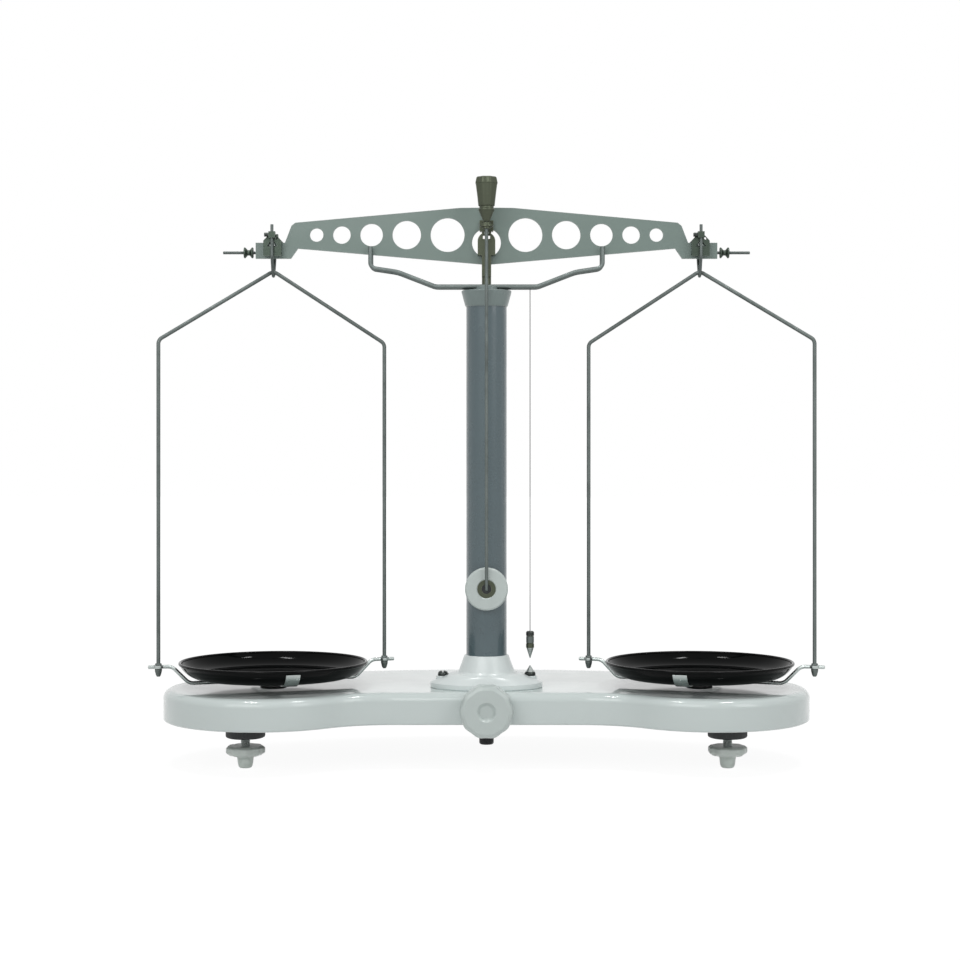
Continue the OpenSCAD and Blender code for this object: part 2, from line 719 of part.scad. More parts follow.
// Rod that lifts the beam, with its rounded tip on the cam
module lift_rod() {
    color("silver") on_axis() {
        translate([0, 0, rod_z]) rotate_extrude() polygon(concat(
            [[0, 0]], arc([0, tip_r], tip_r, -80, 0, 6),
            [[lift_d / 2, tip_r + 1.4], [lift_d / 2, tip_r + 3], [0, tip_r + 3]]));
        translate([0, 0, rod_z + tip_r + 2])
            cylinder(d = lift_d, h = knife_z - 20 - rod_z - tip_r - 2);
    }
}

// Yoke that straddles the beam and carries the centre knife
module bearing_yoke() {
    foot = 24;
    color("darkolivegreen") on_axis() translate([0, 0, knife_z]) difference() {
        union() {
            translate([-lift_d / 2, -yoke_out, -foot]) cube([lift_d, 2 * yoke_out, foot - 9]);
            for (side = [-1, 1]) translate([0, side > 0 ? yoke_out : -yoke_in, 0]) upright() {
                translate([0, cheek_top - cheek_w / 2, 0]) cylinder(d = cheek_w, h = yoke_t);
                translate([-cheek_w / 2, -10.4, 0])
                    cube([cheek_w, 10.4 + cheek_top - cheek_w / 2, yoke_t]);
            }
        }
        translate([-cheek_w, -yoke_in, 3 - beam_bottom - 5.4])
            cube([2 * cheek_w, 2 * yoke_in, beam_bottom + cheek_top + 10]);
        translate([-knife_w / 2 - 0.6, -yoke_out - 1, -0.03])
            cube([knife_w + 1.2, 2 * yoke_out + 2, cheek_top + 2]);
        translate([0, 0, -foot - 1]) cylinder(d = lift_d + 2 * seat, h = 5);
    }
}

// Path of a rest arm, from the column outwards and up to its fork tip
arm_path = [
    [-fork_x, knife_z - arm_tip - arm_z], [-fork_x, 12], [-fork_x * 0.766, 9.4], [-fork_x * 0.44, 0],
    [fork_x * 0.44, 0], [fork_x * 0.766, 9.4], [fork_x, 12], [fork_x, knife_z - arm_tip - arm_z]];
arm_bends = [0, 4, 14, 10, 10, 14, 4, 0];
pin_z = knife_z - beam_bottom
    + (beam_bottom - shoulder_bottom) * fork_x / (shoulder_x - 3.2) - rock_drop - pin_d / 2;

module rest_arm(side) {
    color("dimgray") on_axis() translate([0, side * arm_y, arm_z]) difference() {
        upright() bent_rod(arm_path, arm_bends, arm_d);
        for (end = [-1, 1]) translate([end * fork_x, 0, pin_z - arm_z])
            rotate([90, 0, 0]) cylinder(d = pin_d + 2 * seat, h = 2 * arm_d, center = true);
        translate([plumb_x, 0, 0])
            rotate([90, 0, 0]) cylinder(d = pin_d + 2 * seat, h = 2 * arm_d, center = true);
    }
}

// A pin across the two rods of the rest arms
module cross_pin(x, z) {
    translate([x, 0, z]) rotate([90, 0, 0]) cylinder(d = pin_d, h = 2 * arm_y + 1.2, center = true);
}

// Pins at the foot of the forks, on which the arrested beam lies
module rest_pins() {
    color("silver") on_axis() for (end = [-1, 1]) cross_pin(end * fork_x, pin_z);
}

// Pin from which the plumb line hangs
module plumb_pin() { color("silver") on_axis() cross_pin(plumb_x, arm_z); }

// Plumb line, as a thin tube along its route
module plumb_line() {
    color("dimgray") loft([for (k = [line_rings : -1 : 0])
        let (c = along(plumb_route, k / line_rings))
        [for (i = [0 : line_sides - 1])
            c + line_d / 2 * [cos(360 * i / line_sides), sin(360 * i / line_sides), 0]]]);
}

// Pointed brass bob on the plumb line
module plumb_bob() {
    cone = 6.4;
    top = plumb_route[len(plumb_route) - 1][2];
    color("darkolivegreen") translate([plumb_x, axis_y, top - plumb_l]) rotate_extrude() polygon([
        [0, 0], [0.2, 0], [plumb_d / 2 - 0.4, cone], [plumb_d / 2, cone + 0.4],
        [plumb_d / 2, plumb_l - 5], [plumb_d / 2 - 0.5, plumb_l - 4.6],
        [plumb_d / 2 - 0.5, plumb_l - 4], [plumb_d / 2, plumb_l - 3.6],
        [plumb_d / 2, plumb_l - 1], [plumb_d / 2 - 0.8, plumb_l], [0, plumb_l]]);
}

// Outline of the beam plate, anticlockwise from the bottom middle
half_beam = [
    [shoulder_x - 3.2, -shoulder_bottom], [shoulder_x + 1.3, -tab_top - tab_h],
    [tab_x, -tab_top - tab_h], [tab_x, -tab_top], [shoulder_x + 5.1, -tab_top],
    [shoulder_x + 0.9, shoulder_top - 2], [shoulder_x - 1.6, shoulder_top],
    [17, beam_top - 0.1], [9, beam_top]];
beam_outline = concat(
    [[0, -beam_bottom]], half_beam,
    [for (i = [len(half_beam) - 1 : -1 : 0]) [-half_beam[i][0], half_beam[i][1]]]);

// Beam plate with its lightening holes
module beam_plate() {
    color("slategray") on_axis() translate([0, beam_t / 2, knife_z]) upright() difference() {
        linear_extrude(beam_t) polygon(beam_outline);
        for (side = [-1, 1], i = [0 : len(hole_d) - 1])
            translate([side * hole_at(i), hole_z, -1]) cylinder(d = hole_d[i], h = beam_t + 2);
        translate([0, centre_hole_z, -1]) cylinder(d = centre_hole_d, h = beam_t + 2);
        for (side = [-1, 1]) {
            translate([side * arm_l, 0, -1]) linear_extrude(beam_t + 2)
                polygon(knife_section(-1, seat));
            translate([side * (tab_x - 4), balance_z, beam_t / 2]) rotate([0, side * 90, 0])
                cylinder(d = 1.6 + 2 * seat, h = 6);
        }
    }
}
balance_z = -8.4;
balance_gap = 1.6;
balance_end = 3.4;
balance_rod_l = balance_gap + balance_nut_l + balance_travel + balance_end;

// Section of a knife: its edge at the origin, its back up (1) or down (-1)
function knife_section(back, grow) = [
    [0, -back * grow], [knife_w / 2 + grow, back * (knife_h + grow)],
    [-knife_w / 2 - grow, back * (knife_h + grow)]];

module knife(back, half) {
    translate([0, half, knife_z]) upright() linear_extrude(2 * half) polygon(knife_section(back, 0));
}

// Centre knife, edge down, on which the beam rocks
module centre_knife() { color("silver") on_axis() knife(1, yoke_out - 0.3); }

// End knife, edge up, on which a pan's saddle hangs
module end_knife(side) { color("silver") at_side(side) knife(-1, cheek_out - 0.4); }

// Clamp that grips the centre knife and the pointer's arm
module knife_holder() {
    reach = 3.2;
    gap = 1;
    color("darkolivegreen") on_axis() translate([0, 0, knife_z]) difference() {
        union() {
            translate([-3, 0.4 - yoke_in, 2.6]) cube([6, 2 * yoke_in - 0.8, knife_h + 1]);
            translate([-4.4, -reach, cheek_top + gap]) cube([8.8, 2 * reach, 7]);
        }
        difference() {
            translate([-6, -beam_t / 2, -1]) cube([12, beam_t, 20]);
            translate([0, 0, centre_hole_z]) rotate([90, 0, 0])
                cylinder(d = centre_hole_d, h = 3 * beam_t, center = true);
        }
        translate([0, 10, 0]) upright() linear_extrude(20) polygon(knife_section(1, seat));
        translate([0, 0, clamp_z - knife_z]) upright() cylinder(d = 3 + 2 * seat, h = 2 * reach);
    }
}

// Arm that holds the pointer in front of the column
module pointer_arm() {
    color("darkolivegreen") on_axis() translate([0, 0, clamp_z]) difference() {
        union() {
            translate([0, -1.6, 0]) upright() cylinder(d = 3, h = 2);
            translate([0, -3.2 - seat, 0]) upright() cylinder(d = 3.6, h = pointer_y - 3.2 - seat);
            translate([0, -pointer_y, -clamp_r]) cylinder(d = 5.4, h = 2 * clamp_r);
            translate([0, -pointer_y, -0.7]) cylinder(d = 8.8, h = 1.4);
        }
        translate([0, -pointer_y, -clamp_r - 1]) cylinder(d = pointer_d + 2 * seat, h = 2 * clamp_r + 2);
    }
}

// Pointer, from inside the bob down to its rounded tip
module pointer() {
    color("silver") on_axis() translate([0, -pointer_y, pointer_tip_z]) {
        translate([0, 0, pointer_d / 2])
            cylinder(d = pointer_d, h = bob_bore_top - bob_travel - 1 - pointer_tip_z);
        translate([0, 0, pointer_d / 2]) sphere(d = pointer_d);
    }
}

// Weight above the beam that sets the sensitivity
module sensitivity_bob() {
    r = bob_d / 2;
    waist = 8;
    color("darkolivegreen") on_axis() translate([0, -pointer_y, bob_z]) difference() {
        rotate_extrude() polygon([
            [0, 0], [2, 0], [r * 0.69, waist - 0.6], [r * 0.69, waist], [r * 0.61, waist + 0.4],
            [r * 0.61, waist + 1.7], [r * 0.7, waist + 2.1], [r - 0.3, bob_h - 4.6], [r, bob_h - 3.8],
            [r - 0.7, bob_h - 0.6], [r - 1.3, bob_h], [0, bob_h]]);
        translate([0, 0, -1]) cylinder(d = pointer_d + 2 * slip, h = bob_bore_top - bob_z + 1);
    }
}

// Rod at the beam's end on which the balance nut turns
module balance_rod(side) {
    color("silver") on_axis() translate([side * tab_x, 0, knife_z + balance_z])
        rotate([0, side * 90, 0]) {
            cylinder(d = balance_rod_d, h = balance_rod_l);
            translate([0, 0, -3.5]) cylinder(d = 1.6, h = 4);
        }
}

// Spool-shaped nut that balances the beam
module balance_nut(side) {
    r = balance_nut_d / 2;
    l = balance_nut_l;
    color("darkolivegreen") on_axis() translate([side * (tab_x + balance_gap), 0, knife_z + balance_z])
        rotate([0, side * 90, 0]) difference() {
            rotate_extrude() polygon([
                [0, 0], [r, 0], [r, 0.9], [r * 0.5, l * 0.4], [r * 0.5, l * 0.6], [r, l - 0.9],
                [r, l], [0, l]]);
            translate([0, 0, -1]) cylinder(d = balance_rod_d + 2 * slip, h = l + 2);
        }
}

// Profile of the saddle's cheeks, measured from the knife edge
cheek_half = 5.75;
ridge = 5;
eave = -1.2;
cheek_foot = -11;
pinch_z = 2.4;
pinch_d = 1.4;

// Saddle that hangs on an end knife and straddles the beam's tab
module saddle(side) {
    color("darkolivegreen") at_side(side) translate([0, 0, knife_z]) difference() {
        union() {
            for (face = [cheek_out, -cheek_in]) translate([0, face, 0]) upright()
                linear_extrude(cheek_out - cheek_in) polygon([
                    [-cheek_half, cheek_foot], [cheek_half, cheek_foot], [cheek_half, eave],
                    [0, ridge], [-cheek_half, eave]]);
            translate([0, cheek_out, 0]) upright() linear_extrude(2 * cheek_out) polygon([
                [-1.8, 1.2], [1.8, 1.2], [1.8, 3.06], [0, ridge], [-1.8, 3.06]]);
            for (face = [cheek_out - 0.5, -lug_out]) translate([-2.1, face, 0.4])
                cube([4.2, lug_out - cheek_out + 0.5, 4]);
        }
        translate([0, 10, 0]) upright() linear_extrude(20)
            polygon([[0, 0.03], [-3.5, -5], [3.5, -5]]);
        translate([2.9, 0, 0.3]) rotate([90, 0, 0]) cylinder(d = 1.8, h = 20, center = true);
        for (end = [-1, 1]) translate([0, end * stirrup_y, -1])
            cylinder(d = stirrup_d + 2 * seat, h = 7);
        translate([-1, -stirrup_y, pinch_z])
            rotate([0, -90, 0]) cylinder(d = pinch_d + 2 * seat, h = 2);
    }
}

// Small screw that pinches the stirrup's wire in its saddle
module saddle_screw(side) {
    color("darkslategray") at_side(side) translate([-2.1 - seat, -stirrup_y, knife_z + pinch_z])
        rotate([0, -90, 0]) {
            cylinder(d = 2.6, h = 2.8);
            translate([0, 0, -0.9]) cylinder(d = pinch_d, h = 1.2);
        }
}

// Wire loop that joins the saddle to the hanger, bent in the YZ plane
stirrup_half = atan2(stirrup_y, 15.5);
stirrup_bend = 3.2;
stirrup_low = hang_z - knife_z - hanger_d / 2 - stirrup_d / 2 - 0.12
    - stirrup_bend * (1 / sin(stirrup_half) - 1);
stirrup_path = [
    [-stirrup_y, 9], [-stirrup_y, stirrup_low + 15.5], [0, stirrup_low],
    [stirrup_y, stirrup_low + 15.5], [stirrup_y, 4]];

module stirrup(side) {
    color("dimgray") at_side(side) translate([0, 0, knife_z]) rotate([90, 0, 90])
        bent_rod(stirrup_path, [0, 3, stirrup_bend, 3, 0], stirrup_d);
}

// Hanger: one wire, bent to a roof with two long legs
hanger_peak = 5 * (1 / cos(atan2(shoulder_h, leg_x)) - 1);
leg_low = wire_z - carrier_d / 2 - touch - end_nut_h - 0.6;
hanger_path = [
    [-leg_x, leg_low - hang_z], [-leg_x, -shoulder_h], [0, hanger_peak], [leg_x, -shoulder_h],
    [leg_x, leg_low - hang_z]];

module hanger(side) {
    color("gray") hung(side) translate([0, 0, hang_z]) upright()
        bent_rod(hanger_path, [0, 4.5, 5, 4.5, 0], hanger_d);
}

// On both legs, a collar above the carrier's eye and a small cone nut below it
module hanger_nuts(side) {
    collar_h = 1;
    bore_r = hanger_d / 2 + seat;
    color("dimgray") hung(side) for (leg = [-1, 1]) translate([leg * leg_x, 0, wire_z]) {
        translate([0, 0, carrier_d / 2 + touch]) rotate_extrude() polygon([
            [bore_r, 0], [bore_r + 1, 0], [bore_r + 0.7, collar_h], [bore_r, collar_h]]);
        translate([0, 0, -carrier_d / 2 - touch - end_nut_h]) rotate_extrude() polygon([
            [bore_r, 0], [bore_r + 0.4, 0], [bore_r + 1.1, end_nut_h / 2],
            [bore_r + 1.1, end_nut_h], [bore_r, end_nut_h]]);
    }
}

// The wire under a pan: from one leg's eye down, across and up to the other
carrier_fall = wire_z - flat_z;
carrier_path = [
    [-leg_x - stub_l, 0], [8.5 - leg_x, 0], [19.5 - leg_x, -carrier_fall],
    [leg_x - 19.5, -carrier_fall], [leg_x - 8.5, 0], [leg_x + stub_l, 0]];

module carrier(side) {
    color("silver") hung(side) translate([0, 0, wire_z]) difference() {
        union() {
            upright() bent_rod(carrier_path, [0, 7, 7, 7, 7, 0], carrier_d);
            for (leg = [-1, 1]) translate([leg * leg_x, 0, -carrier_d / 2 + touch])
                cylinder(d = eye_d, h = carrier_d - 2 * touch);
        }
        for (leg = [-1, 1]) translate([leg * leg_x, 0, -carrier_d])
            cylinder(d = hanger_d + 2 * seat, h = 2 * carrier_d);
    }
}

// Strap across the carrier wire, turned up round the pan
strap_a = 62;
module strap(side) {
    inner = flank_r + touch;
    outer = inner + strap_t;
    centre = [pan_floor_r, flank_r];
    color("gainsboro") hung(side) translate([-strap_w / 2, 0, pan_z]) rotate([90, 0, 90])
        linear_extrude(strap_w) polygon(concat(
            arc(centre, outer, -90, strap_a - 90, 12), arc(centre, inner, strap_a - 90, -90, 12),
            arc([-centre[0], centre[1]], inner, -90, -90 - strap_a, 12),
            arc([-centre[0], centre[1]], outer, -90 - strap_a, -90, 12)));
}

// Round enamelled pan with a rolled rim
module pan(side) {
    centre = [pan_floor_r, flank_r];
    color("black") at_side(side) translate([0, 0, pan_z]) {
        rotate_extrude() polygon(concat(
            [[0, 0]], arc(centre, flank_r, -90, flank_a - 90, 10),
            arc(centre, flank_r - pan_t, flank_a - 90, -90, 10), [[0, pan_t]]));
        translate([0, 0, pan_depth]) rotate_extrude()
            translate([pan_d / 2 - pan_t / 2, 0]) circle(r = 1);
    }
}

base_casting();
base_cover();
cover_screws();
rear_foot();
rest_pads();
foot_stud(-1);  // foot_stud_left
foot_stud(1);  // foot_stud_right
foot_knob(-1);  // foot_knob_left
foot_knob(1);  // foot_knob_right
lock_nut(-1);  // lock_nut_left
lock_nut(1);  // lock_nut_right
column_flange();
flange_screw();
plumb_target();
guide_bushes();
column_tube();
column_cap();
index_disc();
index_hub();
arrest_knob();
arrest_shaft();
arrest_cam();
lift_rod();
bearing_yoke();
rest_arm(-1);  // rest_arm_front
rest_arm(1);  // rest_arm_rear
rest_pins();
plumb_pin();
plumb_line();
plumb_bob();
beam_plate();
knife_holder();
centre_knife();
end_knife(-1);  // end_knife_left
end_knife(1);  // end_knife_right
balance_rod(-1);  // balance_rod_left
balance_rod(1);  // balance_rod_right
balance_nut(-1);  // balance_nut_left
balance_nut(1);  // balance_nut_right
pointer_arm();
pointer();
sensitivity_bob();
saddle(-1);  // saddle_left
saddle(1);  // saddle_right
saddle_screw(-1);  // saddle_screw_left
saddle_screw(1);  // saddle_screw_right
stirrup(-1);  // stirrup_left
stirrup(1);  // stirrup_right
hanger(-1);  // hanger_left
hanger(1);  // hanger_right
hanger_nuts(-1);  // hanger_nuts_left
hanger_nuts(1);  // hanger_nuts_right
carrier(-1);  // carrier_left
carrier(1);  // carrier_right
strap(-1);  // strap_left
strap(1);  // strap_right
pan(-1);  // pan_left
pan(1);  // pan_right
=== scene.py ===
"""Finished look of a pillar balance: its surfaces, wires, plumb line and studio.

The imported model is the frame. Each piece is worked out in millimetres from the frame's
boxes and from the sizes in the property groups below, and rides on its own body.
"""

import json
import math

import bmesh
import bpy
import numpy as np
from bpy.props import FloatProperty, FloatVectorProperty, IntProperty, PointerProperty
from bpy.types import Operator, Panel, PropertyGroup
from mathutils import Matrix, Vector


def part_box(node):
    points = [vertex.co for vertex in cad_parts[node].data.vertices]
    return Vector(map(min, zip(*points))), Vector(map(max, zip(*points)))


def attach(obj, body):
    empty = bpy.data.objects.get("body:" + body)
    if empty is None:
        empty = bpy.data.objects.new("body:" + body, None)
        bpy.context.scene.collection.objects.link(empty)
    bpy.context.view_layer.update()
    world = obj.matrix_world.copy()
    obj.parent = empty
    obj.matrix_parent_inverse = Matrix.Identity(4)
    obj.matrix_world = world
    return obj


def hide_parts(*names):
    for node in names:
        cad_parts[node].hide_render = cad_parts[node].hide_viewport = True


bl_info = {
    "name": "Pillar balance",
    "version": (1, 0, 0),
    "blender": (4, 5, 0),
    "location": "View3D > Sidebar > Balance",
    "description": "Makes the finished pieces of a pillar balance with its studio",
    "category": "Object",
}

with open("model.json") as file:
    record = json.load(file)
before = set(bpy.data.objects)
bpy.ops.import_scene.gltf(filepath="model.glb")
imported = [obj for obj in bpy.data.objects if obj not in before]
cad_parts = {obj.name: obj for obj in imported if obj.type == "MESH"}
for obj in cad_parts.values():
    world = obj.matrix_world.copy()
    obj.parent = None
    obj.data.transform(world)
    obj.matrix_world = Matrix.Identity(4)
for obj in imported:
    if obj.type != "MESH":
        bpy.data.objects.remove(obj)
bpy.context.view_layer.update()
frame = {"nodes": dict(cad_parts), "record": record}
NODES = frame["nodes"]
BODY_OF = {node: body for body, nodes in frame["record"]["behaviour"]["bodies"].items()
           for node in nodes}
MM = 0.001
SIDES = {"left": -1, "right": 1}

# Degrees past which an edge stays sharp, in made and in dressed pieces
SHARP, DRESSED_SHARP = 38.0, 32.0
# Metres within which the corners of a CAD mesh are merged
MERGE = 2e-6
# Millimetres: how far the foot bosses reach below the base's edge, the radius of a hanger's
# legs, the bare middle of a turned piece, and the points that the plumb line runs through
BOSS_DROP, LEG_RADIUS, AXLE = 3.8, 1.25, 0.2
PLUMB_ROUTE = [(28, -18, z) for z in (304.5, 250, 195, 140, 84.5)]


def low(node):
    """Lowest corner of a CAD node, in millimetres."""
    return np.array(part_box(node)[0]) / MM


def high(node):
    """Highest corner of a CAD node, in millimetres."""
    return np.array(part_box(node)[1]) / MM


def middle(node):
    """Middle of a CAD node's box."""
    return (low(node) + high(node)) / 2


def span(node, way=2):
    """Where a CAD node starts and ends along one axis, which is the upright one if none is named."""
    return low(node)[way], high(node)[way]


def half_width(node):
    """Half of the width of a CAD node's box."""
    return (high(node) - low(node))[0] / 2


def upright(node, height=0.0):
    """The point on a node's upright axis at a height."""
    return *middle(node)[:2], height


# Sizes and colours that a user would change


def number(name, words, default, **more):
    """A number."""
    return FloatProperty(name=name, description=words, default=default, **more)


def size(name, words, default):
    """A length in metres, written here in millimetres."""
    return number(name, words, default * MM, unit="LENGTH", precision=5)


def paint(name, words, default):
    """A colour, written as red, green and blue from 0 to 255."""
    linear = [((c / 255 + 0.055) / 1.055) ** 2.4 for c in default]
    return FloatVectorProperty(name=name, description=words, default=linear, size=3, subtype="COLOR")


class BalanceStandSizes(PropertyGroup):
    """Sizes of the base, the feet, the column and the arrest."""

    lobe_radius: size("Lobe radius", "Radius of the base's round ends", 65)
    waist_distance: size("Waist distance", "From the column's axis to the straight front", 33)
    waist_radius: size("Waist radius", "Hollow curve between the front and a round end", 60)
    edge_radius: size("Edge radius", "Rounding of the base's upper edge", 5.5)
    foot_edge: size("Lower chamfer", "Chamfer of the base's lower edge", 1.2)
    wall: size("Wall", "Thickness of the base's wall", 4)
    flange_rim: size("Flange rim", "Thickness of the flange at its edge", 3.5)
    flange_dome: size("Flange dome", "Height of the flange's dome", 9.2)
    neck_radius: size("Neck radius", "Radius of the flange's neck at its top", 14.3)
    screw_recess: size("Screw recess", "Radius of the flat seats of the flange screws", 4)
    screw_seat: size("Screw seat", "Height of those seats over the base", 7.3)
    knob_lobe: size("Knob lobe", "Depth of the hollows round the arrest knob", 0.6)
    foot_lobe: size("Foot lobe", "Depth of the hollows round a foot knob", 1.0)
    stud_pitch: size("Stud pitch", "Thread pitch of the levelling screws", 1.0)


class BalanceBeamSizes(PropertyGroup):
    """Sizes of the beam's fittings and of the wires."""

    plate_bevel: size("Beam edge", "Rounding of the beam plate's edges", 0.3)
    rod_pitch: size("Rod pitch", "Thread pitch of the balance rods", 0.4)
    leg_pitch: size("Leg pitch", "Thread pitch at the foot of the hangers", 0.45)
    leg_thread: size("Leg thread", "Length of the thread on a hanger's leg", 6)
    hanger_turn: number("Hanger turn", "How far the outer legs are turned forward", math.radians(18),
                        subtype="ANGLE")
    shoulder: size("Shoulder", "Height of a hanger's sloping shoulders", 44.5)
    line_width: size("Plumb line", "Thickness of the plumb line", 0.5)
    pan_wall: size("Pan wall", "Thickness of a pan", 1.0)
    pan_floor: size("Pan floor", "Radius of a pan's flat floor", 46)
    bob_flute: size("Bob flute", "Depth of the flutes of the sensitivity bob", 0.6)


class BalancePaints(PropertyGroup):
    """Colours of the finishes."""

    base: paint("Base", "Stoved enamel of the base", (206, 216, 214))
    casting: paint("Cap", "Paint of the cap", (122, 136, 134))
    flange: paint("Flange", "Enamel of the column's flange", (220, 228, 227))
    column: paint("Column", "Paint of the column tube", (82, 99, 104))
    beam: paint("Beam", "Paint of the beam", (119, 135, 129))
    brass: paint("Brass", "Darkened brass", (80, 85, 72))
    brass_worn: paint("Worn brass", "Brass where the dark finish has rubbed off", (146, 146, 130))
    saddle: paint("Saddle", "Greyed bronze of the saddles", (72, 82, 74))
    wire: paint("Wire", "Drawn steel wire", (104, 111, 109))
    rest_wire: paint("Rest wire", "Darkened wire of the rest arms", (112, 120, 118))
    zinc: paint("Zinc", "Zinc-plated steel", (176, 183, 181))
    steel: paint("Steel", "Ground steel", (165, 170, 168))
    dark_steel: paint("Dark steel", "Blackened steel", (62, 66, 64))
    plastic: paint("Knob plastic", "White moulded plastic", (193, 203, 200))
    # Painted light: the foot knobs' plastic is the knob plastic made lighter, for light that the knobs miss
    # in the base's shadow
    foot_plastic_painted_lighter: paint("Foot plastic painted lighter", "White plastic of the foot knobs", (232, 242, 236))
    black: paint("Black", "Rubber and black plastic", (25, 30, 31))
    pan: paint("Pan", "Black enamel of the pans", (5, 7, 7))
    line: paint("Line", "Plumb line", (88, 90, 92))


class BalanceStudio(PropertyGroup):
    """Camera and lights."""

    distance: size("Distance", "From the camera to the column", 1250)
    eye: size("Eye height", "Height of the camera over the table", 206)
    lens: number("Lens", "Focal length on a 36 mm sensor", 72.9, unit="CAMERA")
    picture: IntProperty(name="Picture", description="Width and height of the picture", default=960,
                         subtype="PIXEL")
    column_px: number("Column pixel", "Column of the picture that shows the axis", 486.5, subtype="PIXEL")
    eye_px: number("Eye pixel", "Row of the picture at the height of the camera", 442, subtype="PIXEL")
    daylight: number("Daylight", "Even light from all sides", 0.26, min=0)
    floor_white: number("Floor white", "How far the floor is plain white, with no shadow", 0.84,
                        min=0, max=1)
    softbox: number("Softbox", "Power of the main light", 5.3, min=0, unit="POWER")


class Lengths:
    """Gives the lengths of a property group in millimetres."""

    def __init__(self, group):
        self.group = group

    def __getattr__(self, name):
        return getattr(self.group, name) / MM


# Shapes, in millimetres


def arc(centre, radius, start, end, steps):
    """Points on a circle from one angle to another, in degrees."""
    angle = np.radians(np.linspace(start, end, steps + 1))
    return np.array(centre) + radius * np.stack([np.cos(angle), np.sin(angle)], axis=1)


def rounded(points, radii, steps=4):
    """A path whose inner corners turn on arcs. An arc touches both legs of its corner at
    radius times the tangent of half the turn, and swings from the first leg to the second."""
    points = np.array(points, float)
    radii = np.broadcast_to(radii, len(points))
    path = [points[:1]]
    for before, corner, after, radius in zip(points[:-2], points[1:-1], points[2:], radii[1:-1]):
        way_in = (corner - before) / np.linalg.norm(corner - before)
        way_out = (after - corner) / np.linalg.norm(after - corner)
        turn = math.acos(np.clip(way_in @ way_out, -1, 1))
        if turn < 0.01 or radius <= 0:
            path.append(corner[None])
            continue
        start = corner - way_in * radius * math.tan(turn / 2)
        inward = (way_out - way_in) / np.linalg.norm(way_out - way_in)
        centre = corner + inward * radius / math.cos(turn / 2)
        angle = np.linspace(0, turn, steps + 1)[:, None]
        path.append(centre + (start - centre) * np.cos(angle) + way_in * radius * np.sin(angle))
    path.append(points[-1:])
    return np.concatenate(path)


def skin(rings, loop=False):
    """Closed surface through rings of points: each point is joined to its neighbours on its
    own ring and on the next. The ends are closed by flat faces, or joined if it is a loop."""
    rows, cols = rings.shape[:2]
    first = np.arange(rows if loop else rows - 1)[:, None] * cols
    second = (first + cols) % (rows * cols)
    here = np.arange(cols)
    there = (here + 1) % cols
    quads = np.stack([first + here, first + there, second + there, second + here], axis=-1)
    faces = quads.reshape(-1, 4).tolist()
    if not loop:
        faces.append(here[::-1].tolist())
        faces.append(((rows - 1) * cols + here).tolist())
    return rings.reshape(-1, 3), faces


TURNS = {
    "Z": ((1, 0, 0), (0, 1, 0), (0, 0, 1)),
    "Y": ((1, 0, 0), (0, 0, 1), (0, -1, 0)),
    "X": ((0, 0, 1), (0, 1, 0), (-1, 0, 0)),
    "-X": ((0, 0, -1), (0, 1, 0), (1, 0, 0)),
}


def around(radius, height, angle, at, axis, loop=False):
    """Closed surface through rings round an axis: a radius and a height for each angle. It is
    made round Z, then turned to face along the axis and moved to a place."""
    rings = np.stack([radius * np.cos(angle), radius * np.sin(angle), height + 0 * angle], axis=-1)
    points, faces = skin(rings, loop)
    return points @ np.array(TURNS[axis], float).T + np.array(at), faces


def revolve(profile, at, axis="Z", sides=96, loop=False, depth=0.0, ribs=0, phase=0.0):
    """Surface of revolution: each profile point, a radius and a height, is carried round the
    axis. Between ribs the radius shrinks by each point's own depth, on a cosine wave."""
    profile = np.array(profile, float)
    angle = 2 * np.pi * np.arange(sides) / sides
    hollow = np.broadcast_to(depth, len(profile))[:, None] * (1 - np.cos(ribs * angle + phase)) / 2
    return around(profile[:, :1] - hollow, profile[:, 1:], angle, at, axis, loop)


def sweep(path, radius, sides=28, tip=0.3):
    """Round wire along a path: each point carries a circle square to the path, and the circle
    is turned as little as possible from one point to the next. Both ends are rounded."""
    path = np.array(path, float)
    ways = np.gradient(path, axis=0)
    ways[0], ways[-1] = path[1] - path[0], path[-1] - path[-2]
    ways = ways / np.linalg.norm(ways, axis=1)[:, None]
    side = np.cross(ways[0], [0.0, 0.0, 1.0])
    if np.linalg.norm(side) < 0.1:
        side = np.cross(ways[0], [0.0, 1.0, 0.0])
    across = []
    for way in ways:
        side = side - way * (side @ way)
        side = side / np.linalg.norm(side)
        across.append(side)
    across = np.array(across)
    up = np.cross(ways, across)
    end = np.radians(np.array([80.0, 50.0, 20.0]))
    reach = tip * radius
    starts = path[0] + ways[0] * reach * (1 - np.sin(end))[:, None]
    stops = path[-1] - ways[-1] * reach * (1 - np.sin(end[::-1]))[:, None]
    thin = radius - reach * (1 - np.cos(end))
    centres = np.concatenate([starts, path[1:-1], stops])
    widths = np.concatenate([thin, np.full(len(path) - 2, radius), thin[::-1]])[:, None, None]
    pick = np.concatenate([[0, 0, 0], np.arange(1, len(path) - 1), [-1, -1, -1]])
    angle = (2 * np.pi * np.arange(sides) / sides)[None, :, None]
    circle = np.cos(angle) * up[pick][:, None, :] + np.sin(angle) * across[pick][:, None, :]
    rings = centres[:, None, :] + widths * circle
    return skin(rings[:, ::-1])


def thread(start, length, radius, pitch, axis="Z", sides=32):
    """Screw thread: the radius falls and rises along a helix, by a share of the pitch, and
    the ends run out to a plain chamfer."""
    rows = max(int(length / pitch * 8), 8)
    height = np.linspace(0, length, rows)[:, None]
    angle = 2 * np.pi * np.arange(sides) / sides
    wave = np.abs((height / pitch - angle / (2 * np.pi)) % 1.0 - 0.5) * 2
    taper = np.clip(np.minimum(height, length - height) / pitch, 0.35, 1)
    depth, chamfer = 0.32 * pitch, 0.4 * pitch
    grown = radius - depth * (1 - wave) - chamfer * (1 - taper)
    return around(grown, height, angle, start, axis)


